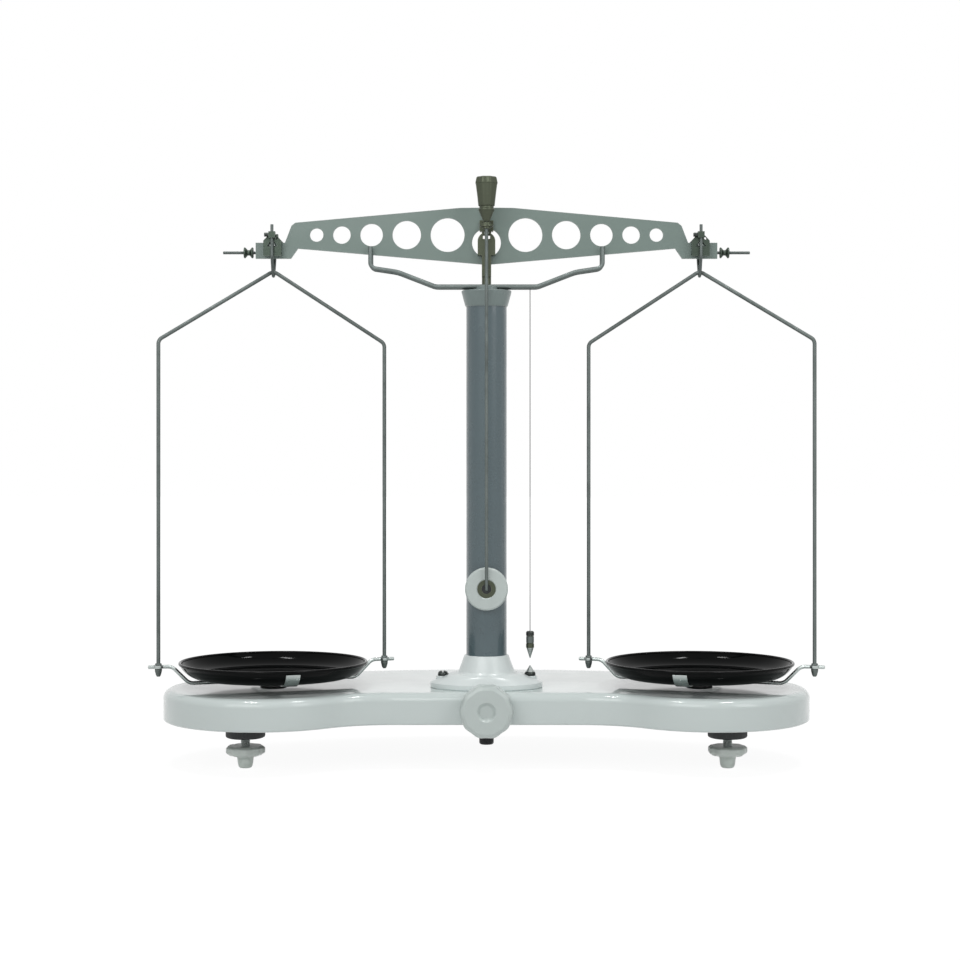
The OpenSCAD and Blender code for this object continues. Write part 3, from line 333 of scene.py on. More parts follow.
def mesh_of(name, shells):
    """One mesh, in metres, of several closed shells."""
    points, faces, count = [], [], 0
    for part_points, part_faces in shells:
        points.append(part_points)
        faces.extend([[i + count for i in face] for face in part_faces])
        count += len(part_points)
    mesh = bpy.data.meshes.new(name)
    mesh.from_pydata((np.concatenate(points) * MM).tolist(), [], faces)
    mesh.update()
    return mesh


def new_object(name, data):
    """An object in the scene."""
    made = bpy.data.objects.new(name, data)
    bpy.context.scene.collection.objects.link(made)
    return made


def set_piece(name, mesh, node, finish, replaces=True, bevel=0.0, sharp=SHARP):
    """Finishes a mesh: smooth faces with sharp edges kept, a bevel, its finish and its body."""
    mesh.polygons.foreach_set("use_smooth", [True] * len(mesh.polygons))
    mesh.set_sharp_from_angle(angle=math.radians(sharp))
    piece = new_object(name, mesh)
    mesh.materials.append(bpy.data.materials[finish])
    if bevel:
        edge = piece.modifiers.new("Broken edges", "BEVEL")
        edge.width = bevel * MM
        edge.segments = 2
        edge.limit_method = "ANGLE"
        edge.angle_limit = math.radians(sharp)
        edge.harden_normals = True
    weigh = piece.modifiers.new("Flat faces", "WEIGHTED_NORMAL")
    weigh.keep_sharp = True
    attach(piece, BODY_OF[node])
    if replaces:
        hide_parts(node)
    return piece


def add_piece(name, shells, node, finish, replaces=True, sharp=SHARP):
    """Makes an object from closed shells, gives it a finish and lets it ride on a node's body."""
    return set_piece(name, mesh_of(name, shells), node, finish, replaces, sharp=sharp)


def dress(node, finish, bevel=0.0):
    """A merged copy of a CAD node, with its flat faces whole and its edges broken."""
    work = bmesh.new()
    work.from_mesh(NODES[node].data)
    bmesh.ops.remove_doubles(work, verts=work.verts, dist=MERGE)
    bmesh.ops.dissolve_limit(work, angle_limit=math.radians(0.5), verts=work.verts, edges=work.edges)
    mesh = bpy.data.meshes.new(node + "_finished")
    work.to_mesh(mesh)
    work.free()
    set_piece(node + "_finished", mesh, node, finish, True, bevel, DRESSED_SHARP)


def cut_round(piece, places, radius, bottom, top):
    """Cuts upright round recesses into a piece."""
    shells = [revolve([(radius, bottom), (radius, top)], place, sides=64) for place in places]
    cutter = new_object("recesses", mesh_of("recesses", shells))
    step = piece.modifiers.new("Recesses", "BOOLEAN")
    step.object = cutter
    step.solver = "EXACT"
    piece.modifiers.move(len(piece.modifiers) - 1, 0)
    bpy.context.view_layer.update()
    seen = piece.evaluated_get(bpy.context.evaluated_depsgraph_get())
    made = bpy.data.meshes.new_from_object(seen)
    piece.modifiers.remove(step)
    piece.data = made
    made.set_sharp_from_angle(angle=math.radians(SHARP))
    bpy.data.objects.remove(cutter)


# Effects that the finishes share


def feed(tree, node, values):
    """Gives inputs of a node a value each: a number, a vector, a colour or a socket to link."""
    for key, value in values.items():
        socket = node.inputs[key]
        if isinstance(value, bpy.types.NodeSocket):
            tree.links.new(value, socket)
        else:
            socket.default_value = (*value, 1) if socket.type == "RGBA" else value


def add(tree, kind, values=None, **settings):
    """A node with its settings, and the values of its inputs."""
    node = tree.nodes.new(kind)
    for key, value in settings.items():
        setattr(node, key, value)
    feed(tree, node, values or {})
    return node


def reckon(tree, operation, *values, clamp=False):
    """One step of arithmetic."""
    step = add(tree, "ShaderNodeMath", dict(enumerate(values)), operation=operation, use_clamp=clamp)
    return step.outputs[0]


def ramp(tree, value, start, end, least=0.0, most=1.0):
    """A value spread from one range over another."""
    return add(tree, "ShaderNodeMapRange", {"Value": value, "From Min": start, "From Max": end,
                                            "To Min": least, "To Max": most}).outputs[0]


def object_place(tree):
    """A point's place on its own object."""
    return add(tree, "ShaderNodeTexCoord").outputs["Object"]


def noise(tree, place, scale, detail, roughness=0.5):
    """Soft noise between 0 and 1."""
    return add(tree, "ShaderNodeTexNoise", {"Vector": place, "Scale": scale, "Detail": detail,
                                            "Roughness": roughness}).outputs["Fac"]


SOCKETS = {1: "NodeSocketFloat", 3: "NodeSocketVector", 4: "NodeSocketColor"}


def node_group(name, output, parts=1, **inputs):
    """A shader group with its inputs and one output. A socket's kind follows from its parts:
    one for a number, three for a vector and four for a colour."""
    group = bpy.data.node_groups.new(name, "ShaderNodeTree")
    for label, default in inputs.items():
        socket = group.interface.new_socket(label, in_out="INPUT", socket_type=SOCKETS[np.size(default)])
        socket.default_value = default
    group.interface.new_socket(output, in_out="OUTPUT", socket_type=SOCKETS[parts])
    return group, group.nodes.new("NodeGroupInput").outputs, group.nodes.new("NodeGroupOutput")


def make_uneven_tone():
    """Colour that grows lighter and darker in soft patches, as paint and plating do."""
    group, start, end = node_group("Uneven tone", "Colour", 4, Colour=(1, 1, 1, 1), Scale=20.0, Spread=0.1)
    shift = reckon(group, "SUBTRACT", noise(group, object_place(group), start["Scale"], 5.0, 0.6), 0.5)
    spread = reckon(group, "MULTIPLY_ADD", shift, start["Spread"], 1.0)
    scaled = add(group, "ShaderNodeVectorMath", {0: start["Colour"], "Scale": spread}, operation="SCALE")
    feed(group, end, {"Colour": scaled.outputs[0]})


def make_tool_lines():
    """Fine lines left by drawing, turning or grinding: noise stretched along one way."""
    group, start, end = node_group("Tool lines", "Value", Stretch=(1, 1, 1), Scale=500.0)
    stretched = add(group, "ShaderNodeVectorMath", {0: object_place(group), 1: start["Stretch"]},
                    operation="MULTIPLY")
    feed(group, end, {"Value": noise(group, stretched.outputs[0], start["Scale"], 3.0, 0.7)})


def make_worn_edges():
    """Mask of the rubbed edges: where the rounded normal leaves the face's own, broken by noise."""
    group, start, end = node_group("Worn edges", "Mask", Width=0.0004, Amount=1.0)
    soft = add(group, "ShaderNodeBevel", {"Radius": start["Width"]}, samples=4).outputs[0]
    plain = add(group, "ShaderNodeNewGeometry").outputs["Normal"]
    alike = add(group, "ShaderNodeVectorMath", {0: soft, 1: plain}, operation="DOT_PRODUCT")
    away = ramp(group, alike.outputs["Value"], 0.995, 0.9)
    broken = ramp(group, noise(group, object_place(group), 260.0, 4.0), 0.38, 0.62)
    worn = reckon(group, "MULTIPLY", away, broken)
    feed(group, end, {"Mask": reckon(group, "MULTIPLY", worn, start["Amount"], clamp=True)})


def make_fine_grain():
    """Height of a fine even grain, such as sprayed paint or a mould's skin."""
    group, start, end = node_group("Fine grain", "Height", Scale=900.0)
    feed(group, end, {"Height": noise(group, object_place(group), start["Scale"], 2.0)})


def make_settled_dust():
    """Mask of dust: faces that look up, in soft patches with fine specks."""
    group, start, end = node_group("Settled dust", "Mask", Amount=0.1)
    place = object_place(group)
    film = reckon(group, "MULTIPLY", noise(group, place, 18.0, 6.0), 0.5)
    specks = ramp(group, noise(group, place, 1400.0, 1.0), 0.55, 0.75)
    plain = add(group, "ShaderNodeNewGeometry").outputs["Normal"]
    upward = ramp(group, add(group, "ShaderNodeSeparateXYZ", {0: plain}).outputs["Z"], 0.2, 1.0)
    faced = reckon(group, "MULTIPLY", reckon(group, "ADD", film, specks), upward)
    feed(group, end, {"Mask": reckon(group, "MULTIPLY", faced, start["Amount"], clamp=True)})


# Finishes


def finish(name, shader):
    """A material whose shader's plain values are set."""
    material = bpy.data.materials.new(name)
    material.use_nodes = True
    body = material.node_tree.nodes["Principled BSDF"]
    feed(material.node_tree, body, shader)
    return material.node_tree, body


def effect(tree, name, **values):
    """What one of the shared effects gives for some values."""
    node = add(tree, "ShaderNodeGroup", node_tree=bpy.data.node_groups[name])
    feed(tree, node, values)
    return node.outputs[0]


def mixed(tree, mask, first, second):
    """First colour where the mask is 0, second where it is 1."""
    mix = add(tree, "ShaderNodeMix", {"Factor": mask, "A": first, "B": second}, data_type="RGBA")
    return mix.outputs["Result"]


def bumped(tree, height, strength, distance):
    """A normal shaped by a height."""
    return add(tree, "ShaderNodeBump", {"Height": height, "Strength": strength,
                                        "Distance": distance}).outputs[0]


def spread_between(tree, value, least, most):
    """A noise spread over a range of roughness."""
    return ramp(tree, value, 0.3, 0.7, least, most)


def make_paint(name, colour, rough, coat, grain, dust, spread=0.05, wear=None, coat_rough=0.04, level=0.5):
    """Sprayed or stoved paint: soft unevenness, fine peel, a little dust and rubbed edges."""
    tree, body = finish(name, {"Coat Weight": coat, "Coat Roughness": coat_rough, "IOR": 1.5,
                               "Specular IOR Level": level})
    shown = effect(tree, "Uneven tone", Colour=colour, Scale=14.0, Spread=spread)
    if wear is not None:
        shown = mixed(tree, effect(tree, "Worn edges", Width=0.0005, Amount=0.7), shown, wear)
    smudge = effect(tree, "Tool lines", Stretch=(1, 1, 1), Scale=45.0)
    peel = effect(tree, "Fine grain", Scale=grain)
    feed(tree, body, {
        "Base Color": mixed(tree, effect(tree, "Settled dust", Amount=dust), shown, (0.55, 0.54, 0.51)),
        "Roughness": spread_between(tree, smudge, rough * 0.75, rough * 1.35),
        "Normal": bumped(tree, peel, 0.12, 0.0001)})


def make_metal(name, colour, worn, rough, stretch, scale, spread=0.25, lines=0.25, wear=0.8):
    """Bare or darkened metal: uneven tone, tool lines, and bright rubbed edges."""
    tree, body = finish(name, {"Metallic": 1.0})
    tone = effect(tree, "Uneven tone", Colour=colour, Scale=120.0, Spread=spread)
    edges = effect(tree, "Worn edges", Width=0.0003, Amount=wear)
    tool = effect(tree, "Tool lines", Stretch=stretch, Scale=scale)
    feed(tree, body, {"Base Color": mixed(tree, edges, tone, worn),
                      "Roughness": spread_between(tree, tool, rough * 0.7, rough * 1.4),
                      "Normal": bumped(tree, tool, lines, 0.00005)})


def make_plastic(name, colour, rough, grain, dust, coat=0.0):
    """Moulded plastic or rubber: fine skin, faint flow marks and dust."""
    tree, body = finish(name, {"Coat Weight": coat, "Coat Roughness": 0.12, "IOR": 1.49})
    tone = effect(tree, "Uneven tone", Colour=colour, Scale=60.0, Spread=0.07)
    moulded = effect(tree, "Fine grain", Scale=grain)
    feed(tree, body, {
        "Base Color": mixed(tree, effect(tree, "Settled dust", Amount=dust), tone, (0.5, 0.49, 0.46)),
        "Roughness": spread_between(tree, moulded, rough * 0.8, rough * 1.2),
        "Normal": bumped(tree, moulded, 0.2, 0.0001)})


def make_line(name, colour):
    """Twisted line: slanting strands in the line's own colour, with painted shade in the grooves between
    them.
    """
    tree, body = finish(name, {"Roughness": 0.8})
    wave = {"Vector": object_place(tree), "Scale": 900.0, "Distortion": 1.5}
    strands = add(tree, "ShaderNodeTexWave", wave, bands_direction="DIAGONAL").outputs["Fac"]
    # Painted shade: the grooves between the strands take 0.45 of the line's colour
    dark = [part * 0.45 for part in colour]
    feed(tree, body, {"Base Color": mixed(tree, strands, dark, colour),
                      "Normal": bumped(tree, strands, 0.5, 0.0001)})


ROUND_Z = (0.04, 0.04, 1)
ROUND_Y = (0.04, 1, 0.04)
EVEN = (1, 1, 1)


class BALANCE_OT_finishes(Operator):
    """Makes the shared effects and every finish"""

    bl_idname = "balance.finishes"
    bl_label = "Finishes"

    def execute(self, context):
        paints = context.scene.balance_paints
        steel = paints.steel
        make_uneven_tone()
        make_tool_lines()
        make_worn_edges()
        make_fine_grain()
        make_settled_dust()
        make_paint("White enamel", paints.base, 0.4, 1.0, 700, 0.006, 0.02, coat_rough=0.07, level=0.1)
        make_paint("Flange enamel", paints.flange, 0.36, 0.3, 900, 0.04, 0.03, coat_rough=0.15)
        make_paint("Cap paint", paints.casting, 0.34, 0.15, 1500, 0.06, 0.08, steel)
        make_paint("Column paint", paints.column, 0.26, 0.35, 1200, 0.02, 0.08)
        make_paint("Beam paint", paints.beam, 0.38, 0.1, 1900, 0.04, 0.1, steel)
        make_paint("Pan enamel", paints.pan, 0.08, 0.0, 500, 0.002, 0.2, (0.02, 0.02, 0.02), level=0.07)
        make_metal("Dark brass", paints.brass, paints.brass_worn, 0.36, ROUND_Z, 900)
        make_metal("Grey bronze", paints.saddle, steel, 0.4, EVEN, 900, 0.15, 0.2, 0.35)
        make_metal("Wire", paints.wire, steel, 0.55, EVEN, 60, 0.05, 0.0, 0.0)
        make_metal("Rest wire", paints.rest_wire, steel, 0.5, EVEN, 60, 0.05, 0.0, 0.0)
        make_metal("Zinc", paints.zinc, steel, 0.3, EVEN, 350, 0.2, 0.1, 0.0)
        make_metal("Ground steel", steel, steel, 0.24, ROUND_Y, 1400, 0.15)
        make_metal("Dark steel", paints.dark_steel, steel, 0.36, ROUND_Z, 900)
        make_plastic("Knob plastic", paints.plastic, 0.34, 1600, 0.02, 0.15)
        # Painted light: a lighter copy of the knob plastic for the foot knobs, which sit in the base's
        # shadow
        make_plastic("Foot plastic painted lighter", paints.foot_plastic_painted_lighter, 0.34, 1600, 0.02, 0.15)
        make_plastic("Black plastic", paints.black, 0.42, 1400, 0.12)
        make_plastic("Rubber", paints.black, 0.6, 1100, 0.15)
        make_line("Line", paints.line)
        return {"FINISHED"}


class BALANCE_OT_camera(Operator):
    """Puts the camera where the picture was taken, square to the beam"""

    bl_idname = "balance.camera"
    bl_label = "Camera"

    def execute(self, context):
        studio = context.scene.balance_studio
        lens = bpy.data.cameras.new("camera")
        lens.lens = studio.lens
        lens.clip_start = 0.05
        lens.shift_x = (studio.picture / 2 - studio.column_px) / studio.picture
        lens.shift_y = (studio.eye_px - studio.picture / 2) / studio.picture
        camera = new_object("camera", lens)
        column = middle("column_tube") * MM
        camera.location = (column[0], column[1] - studio.distance, studio.eye)
        camera.rotation_euler = (math.pi / 2, 0, 0)
        context.scene.camera = camera
        context.scene.view_settings.view_transform = "Standard"
        return {"FINISHED"}


def make_plumb_bob():
    """The turned plumb bob: a dark cap and foot on a slim body, and a long ground point."""
    bottom, tall = low("plumb_bob")[2], (high("plumb_bob") - low("plumb_bob"))[2]
    rim = half_width("plumb_bob")
    inner, slim, neck = rim - 0.5, rim - 0.1, rim - 0.6
    parts = [
        ("core", "Dark brass", [(AXLE, 6.6), (inner, 6.6), (inner, tall - 0.5), (AXLE, tall - 0.5)]),
        ("body", "Wire", [(neck, tall - 7.6), (slim, tall - 7.6), (slim, tall - 3.4), (neck, tall - 3.4)]),
        ("cap", "Dark steel", [(AXLE, tall - 3), (rim, tall - 3), (rim, tall - 0.7), (rim - 0.7, tall),
                               (AXLE, tall)]),
        ("foot", "Dark brass", [(neck, 6.8), (rim, 6.8), (rim, tall - 8), (neck, tall - 8)]),
        ("point", "Ground steel", [(0.05, 0), (AXLE, 0), (rim - 0.3, 6.4), (rim - 0.3, 6.9), (AXLE, 6.9)]),
    ]
    pieces = []
    for name, finish_name, corners in parts:
        shell = revolve(rounded(corners, 0.15), upright("plumb_bob", bottom), sides=64,
                        loop=name in ("body", "foot"))
        pieces.append(add_piece("plumb_bob_" + name, [shell], "plumb_bob", finish_name, not pieces, 50))
    return pieces


class BALANCE_OT_plumb_line(Operator):
    """Turns the plumb bob and draws its line straight down from the pin"""

    bl_idname = "balance.plumb_line"
    bl_label = "Plumb line"

    def execute(self, context):
        width = context.scene.balance_beam.line_width
        bob = make_plumb_bob()
        route = np.array(PLUMB_ROUTE, float) * MM
        height = np.linspace(0, 1, 19)
        share = np.linspace(0, 1, len(route))
        path = np.stack([np.interp(height, share, route[:, k]) for k in range(3)], axis=1)
        shell = sweep(path / MM, width / MM / 2, 12, tip=0.1)
        line = add_piece("plumb_line_twisted", [shell], "plumb_line", "Line")
        length = float(np.linalg.norm(np.diff(path, axis=0), axis=1).sum())
        return {"FINISHED"}


def light_seen(tree, plain, shown):
    """Strength of a light: its plain level for soft light, and the shown one where the camera,
    a reflection or glass sees it."""
    path = add(tree, "ShaderNodeLightPath").outputs
    seen = path["Is Camera Ray"]
    for kind in ("Is Glossy Ray", "Is Transmission Ray"):
        seen = reckon(tree, "MAXIMUM", seen, path[kind])
    return ramp(tree, seen, 0.0, 1.0, plain, shown)


def add_light(name, place, target, width, height, power):
    """A soft rectangular light that looks at a point."""
    lamp = bpy.data.lights.new(name, "AREA")
    lamp.shape = "RECTANGLE"
    lamp.size = width
    lamp.size_y = height
    lamp.energy = power
    holder = new_object(name, lamp)
    way = np.array(target) - np.array(place)
    flat = math.hypot(way[0], way[1])
    holder.location = place
    holder.rotation_euler = (math.atan2(flat, -way[2]), 0, math.atan2(-way[0], way[1]))


class BALANCE_OT_stage(Operator):
    """Lays the pale floor and sets the soft studio lights"""

    bl_idname = "balance.stage"
    bl_label = "Stage"

    def execute(self, context):
        studio = context.scene.balance_studio
        reach, near, distant, glow = 6.0, 0.5, 1.6, 1.12
        mesh = bpy.data.meshes.new("floor")
        mesh.from_pydata([(-reach, -reach, 0), (reach, -reach, 0), (reach, reach, 0), (-reach, reach, 0)],
                         [], [(0, 1, 2, 3)])
        floor = new_object("floor", mesh)
        material = bpy.data.materials.new("Pale floor")
        material.use_nodes = True
        tree = material.node_tree
        tree.nodes.remove(tree.nodes["Principled BSDF"])
        plain = add(tree, "ShaderNodeBsdfDiffuse", {"Color": (0.86, 0.86, 0.86)})
        white = add(tree, "ShaderNodeEmission", {"Color": (1, 1, 1), "Strength": glow})
        far = add(tree, "ShaderNodeVectorMath", {0: object_place(tree)}, operation="LENGTH")
        rising = ramp(tree, far.outputs["Value"], near, distant, studio.floor_white, 1.0)
        share = reckon(tree, "MULTIPLY", light_seen(tree, 0.0, 1.0), rising)
        both = add(tree, "ShaderNodeMixShader", {0: share, 1: plain.outputs[0], 2: white.outputs[0]})
        feed(tree, tree.nodes["Material Output"], {"Surface": both.outputs[0]})
        mesh.materials.append(material)
        world = bpy.data.worlds.new("Studio")
        context.scene.world = world
        world.use_nodes = True
        tree = world.node_tree
        feed(tree, tree.nodes["Background"], {"Color": (1, 1, 1),
                                              "Strength": light_seen(tree, studio.daylight, 1.0)})
        aim = (0, -0.02, 0.16)
        half = studio.softbox * 0.5
        add_light("main softbox", (-0.5, -1.15, 0.8), aim, 1.0, 0.7, studio.softbox)
        add_light("side softbox", (0.85, -0.9, 0.7), aim, 0.5, 0.7, half)
        for number, x in enumerate((-0.32, 0.4), start=1):
            add_light(f"ceiling lamp {number}", (x, -0.24, 1.2), (x * 0.3, -0.02, 0.06), 0.22, 0.06, half)
        return {"FINISHED"}


# The stand


def base_outline(sizes, inset):
    """The base's plan, drawn inwards: a round lobe at each end, one broad arc along the back,
    a straight front and a hollow arc between the front and each lobe."""
    axis = middle("column_tube")
    end = high("base_casting")
    lobe_x = end[0] - sizes.lobe_radius
    back_y = end[1] - axis[1]
    rise = back_y - sizes.lobe_radius
    drop = (lobe_x ** 2 - rise ** 2) / (2 * rise)
    back_turn = math.degrees(math.atan2(drop, lobe_x))
    waist_y = sizes.waist_distance + sizes.waist_radius
    waist_x = lobe_x - math.sqrt((sizes.lobe_radius + sizes.waist_radius) ** 2 - waist_y ** 2)
    waist_turn = math.degrees(math.atan2(waist_y, lobe_x - waist_x))
    lobe = sizes.lobe_radius - inset
    hollow = sizes.waist_radius + inset
    lines = [
        arc((lobe_x, 0), lobe, waist_turn - 180, back_turn, 60),
        arc((0, -drop), back_y + drop - inset, back_turn, 180 - back_turn, 60)[1:],
        arc((-lobe_x, 0), lobe, 180 - back_turn, 360 - waist_turn, 60)[1:],
        arc((-waist_x, -waist_y), hollow, 180 - waist_turn, 90, 48)[1:],
        arc((waist_x, -waist_y), hollow, 90, waist_turn, 48)[:-1],
    ]
    return np.concatenate(lines) + axis[:2]


class BALANCE_OT_base(Operator):
    """Makes the enamelled base with its rounded upper edge and the bosses of its feet"""

    bl_idname = "balance.base"
    bl_label = "Base casting"

    def execute(self, context):
        sizes = Lengths(context.scene.balance_stand)
        top, floor = low("column_flange")[2], low("base_casting")[2]
        lower = floor + BOSS_DROP
        wall, edge, foot = sizes.wall, sizes.edge_radius, sizes.foot_edge
        section = np.concatenate([
            [(wall, lower + 1.6), (wall, lower + 0.3), (wall - 0.3, lower), (foot, lower),
             (foot * 0.3, lower + foot * 0.45), (0, lower + foot), (0, top - edge - 5)],
            arc((edge, top - edge), edge, 180, 90, 14)])
        rings = np.stack([np.insert(base_outline(sizes, inset), 2, z, axis=1) for inset, z in section])
        shells = [skin(rings)]
        bosses = (("foot_stud_left", 3.1, 9), ("foot_stud_right", 3.1, 9), ("rear_foot", 3, 8.5))
        for node, hole, rim in bosses:
            profile = rounded([(hole, lower + 2), (hole, floor), (rim, floor), (rim, lower + 2)], 0.5)
            shells.append(revolve(profile, upright(node)))
        add_piece("base_enamelled", shells, "base_casting", "White enamel", sharp=50)
        return {"FINISHED"}


class BALANCE_OT_underside(Operator):
    """Finishes the cover plate, its screws, the rubber foot and the rest pads"""

    bl_idname = "balance.underside"
    bl_label = "Underside and pads"

    def execute(self, context):
        dress("base_cover", "Dark steel", 0.2)
        dress("cover_screws", "Ground steel", 0.15)
        dress("rear_foot", "Rubber", 0.3)
        dress("rest_pads", "Rubber", 0.25)
        return {"FINISHED"}


class BALANCE_OT_feet(Operator):
    """Makes the levelling screws with their threads, the lobed knobs and the lock nuts"""

    bl_idname = "balance.feet"
    bl_label = "Levelling feet"

    def execute(self, context):
        sizes = Lengths(context.scene.balance_stand)
        rim = 12.5
        for side in SIDES:
            stud, knob, nut = "foot_stud_" + side, "foot_knob_" + side, "lock_nut_" + side
            bottom, top = span(stud)
            shell = thread(upright(stud, bottom), top - bottom, half_width(stud), sizes.stud_pitch)
            add_piece(stud + "_threaded", [shell], stud, "Zinc", sharp=60)
            top = high(knob)[2]
            grip = top - 6
            profile = rounded([(AXLE, 0), (3.9, 0), (4.7, 2.2), (5.3, grip - 1), (7.2, grip),
                               (rim - 2.6, grip), (rim, grip + 1.8), (rim, top - 1.2), (rim - 1.6, top),
                               (3.2, top)], [0, 1.5, 1.5, 1.6, 1, 0.8, 1.2, 0.8, 0.7, 0], 6)
            depth = sizes.foot_lobe * np.clip((profile[:, 0] - 5.6) / 6, 0, 1)
            shell = revolve(profile, upright(stud), sides=216, depth=depth, ribs=9)
            # The foot knobs take the plastic painted lighter, as painted light in the base's shadow
            add_piece(knob + "_moulded", [shell], knob, "Foot plastic painted lighter", sharp=60)
            bottom, top = span(nut)
            profile = rounded([(3.3, bottom), (11.3, bottom), (12.2, bottom + 0.5), (rim, bottom + 1.2),
                               (rim, top - 0.6), (12, top), (3.3, top)], 0.3)
            knurl = (profile[:, 0] > 12.2) * 0.18
            shell = revolve(profile, upright(stud), sides=432, depth=knurl, ribs=72)
            add_piece(nut + "_turned", [shell], nut, "Black plastic", sharp=60)
        return {"FINISHED"}


class BALANCE_OT_flange(Operator):
    """Makes the domed oval flange with the seats of its screws"""

    bl_idname = "balance.flange"
    bl_label = "Column flange"

    def execute(self, context):
        sizes = Lengths(context.scene.balance_stand)
        lowest, highest, centre = low("column_flange"), high("column_flange"), middle("column_flange")
        half = (highest - lowest) / 2
        height = highest[2] - lowest[2]
        top, recess = sizes.neck_radius, sizes.screw_recess
        foot = top + 4.7
        step = 0.4
        share = np.linspace(0, 1, 18)
        dome = np.stack([half[0] - step + (foot - half[0] + step) * share,
                         half[1] - step + (foot - half[1] + step) * share,
                         sizes.flange_rim + (sizes.flange_dome - sizes.flange_rim)
                         * np.sin(share * np.pi / 2)], axis=1)
        lower = [(half[0] - 0.5, half[1] - 0.5, 0), (half[0], half[1], 0.5),
                 (half[0], half[1], sizes.flange_rim - step)]
        neck = rounded([(foot, sizes.flange_dome), (foot - 1.1, sizes.flange_dome + 1.3),
                        (top, height - 0.5), (top - 0.5, height), (13, height)],
                       [0, 1, 0.6, 0.3, 0], 5)[1:]
        rows = np.concatenate([lower, dome, neck[:, [0, 0, 1]]])
        angle = 2 * np.pi * np.arange(160) / 160
        rings = np.stack([centre[0] + rows[:, :1] * np.cos(angle), centre[1] + rows[:, 1:2] * np.sin(angle),
                          lowest[2] + rows[:, 2:] + 0 * angle], axis=-1)
        flange = add_piece("flange_enamelled", [skin(rings)], "column_flange", "Flange enamel", sharp=50)
        seats = [upright(node) for node in ("flange_screw", "plumb_target")]
        seat = lowest[2] + sizes.screw_seat
        cut_round(flange, seats, recess, seat, lowest[2] + 20)
        profile = rounded([(AXLE, lowest[2] + 1), (recess + 1.2, lowest[2] + 1), (recess + 0.2, seat),
                           (AXLE, seat)], 0.5, 5)
        add_piece("flange_bosses", [revolve(profile, place, sides=72) for place in seats],
                  "column_flange", "Flange enamel", replaces=False, sharp=50)
        dress("flange_screw", "Dark steel", 0.15)
        self.target()
        return {"FINISHED"}

    def target(self):
        """The screw under the plumb bob: a dark collar and a bright ground point."""
        node = "plumb_target"
        (bottom, tip), rim = span(node), half_width(node)
        point = tip - 6.6
        collar = rounded([(AXLE, bottom), (1.5, bottom), (1.5, point), (rim, point), (rim, point + 1.8),
                          (rim - 0.7, point + 2.6), (AXLE, point + 2.6)], 0.25)
        cone = rounded([(AXLE, point + 1), (rim - 0.8, point + 1), (rim - 0.8, point + 2.7), (0.25, tip),
                        (0.05, tip)], 0.15)
        add_piece("target_collar", [revolve(collar, upright(node), sides=72)], node, "Dark steel", sharp=50)
        add_piece("target_point", [revolve(cone, upright(node), sides=72)], node, "Ground steel",
                  replaces=False, sharp=50)


class BALANCE_OT_column(Operator):
    """Makes the column tube and finishes its cap and the guide bushes"""

    bl_idname = "balance.column"
    bl_label = "Column"

    def execute(self, context):
        node = "column_tube"
        (bottom, top), outer = span(node), half_width(node)
        inner = outer - 2
        wall = [(outer, height) for height in np.linspace(bottom, top, 24)]
        tube = revolve([(inner, top), (inner, bottom), *wall], upright(node), sides=160, loop=True)
        add_piece("column_painted", [tube], node, "Column paint")
        dress("column_cap", "Cap paint", 0.2)
        dress("guide_bushes", "Dark brass", 0.1)
        return {"FINISHED"}


class BALANCE_OT_index(Operator):
    """Makes the white index disc and its brass hub, with a thin black disc in the hub as painted shade of
    its hole
    """

    bl_idname = "balance.index"
    bl_label = "Index disc"

    def execute(self, context):
        node = "index_disc"
        centre, rim = middle(node), half_width(node)
        front, back = span(node, 1)
        depth = back - front
        hub = 5.85
        profile = rounded([(hub, depth), (hub, 0.5), (hub + 0.5, 0), (rim - 0.9, 0), (rim, 0.9),
                           (rim, depth - 0.5), (rim - 0.5, depth), (hub + 0.01, depth)],
                          [0, 0.2, 0.2, 0.5, 0.5, 0.2, 0.2, 0], 5)
        shell = revolve(profile, (centre[0], front, centre[2]), "Y", 160, loop=True)
        add_piece("index_disc_moulded", [shell], node, "Knob plastic", sharp=50)
        dress("index_hub", "Dark brass", 0.12)
        # Painted shade: a thin black disc inside the hub's recess stands for the dark of its hole
        hole = 0.53 * hub
        disc = [(0.1, 0), (hole, 0), (hole, 0.2), (0.1, 0.2)]
        place = (centre[0], low("index_hub")[1] + 0.6, centre[2])
        add_piece("hub_painted_shade", [revolve(disc, place, "Y", 64)], "index_hub", "Black plastic", replaces=False)
        return {"FINISHED"}


class BALANCE_OT_arrest(Operator):
    """Makes the lobed arrest knob and finishes its shaft, its cam and the lift"""

    bl_idname = "balance.arrest"
    bl_label = "Arrest"

    def execute(self, context):
        front, back = span("arrest_knob", 1)
        axis = middle("arrest_shaft")
        depth = back - front
        rim = 16.75
        profile = rounded([(AXLE, 2.2), (4.1, 2.2), (6, 0), (rim - 2.8, 0), (rim - 0.7, 0.9), (rim, 2.6),
                           (rim, depth - 1.6), (rim - 1.6, depth), (AXLE, depth)],
                          [0, 1.2, 0.8, 1.5, 1.2, 1.5, 1, 0.8, 0], 6)
        lobes = Lengths(context.scene.balance_stand).knob_lobe * np.clip((profile[:, 0] - 12) / 4, 0, 1)
        shell = revolve(profile, (axis[0], front, axis[2]), "Y", 264, depth=lobes, ribs=10)
        add_piece("arrest_knob_moulded", [shell], "arrest_knob", "Knob plastic", sharp=60)
        dress("arrest_shaft", "Ground steel", 0.2)
        dress("arrest_cam", "Dark brass", 0.15)
        dress("lift_rod", "Dark brass")
        dress("bearing_yoke", "Dark brass", 0.2)
        return {"FINISHED"}


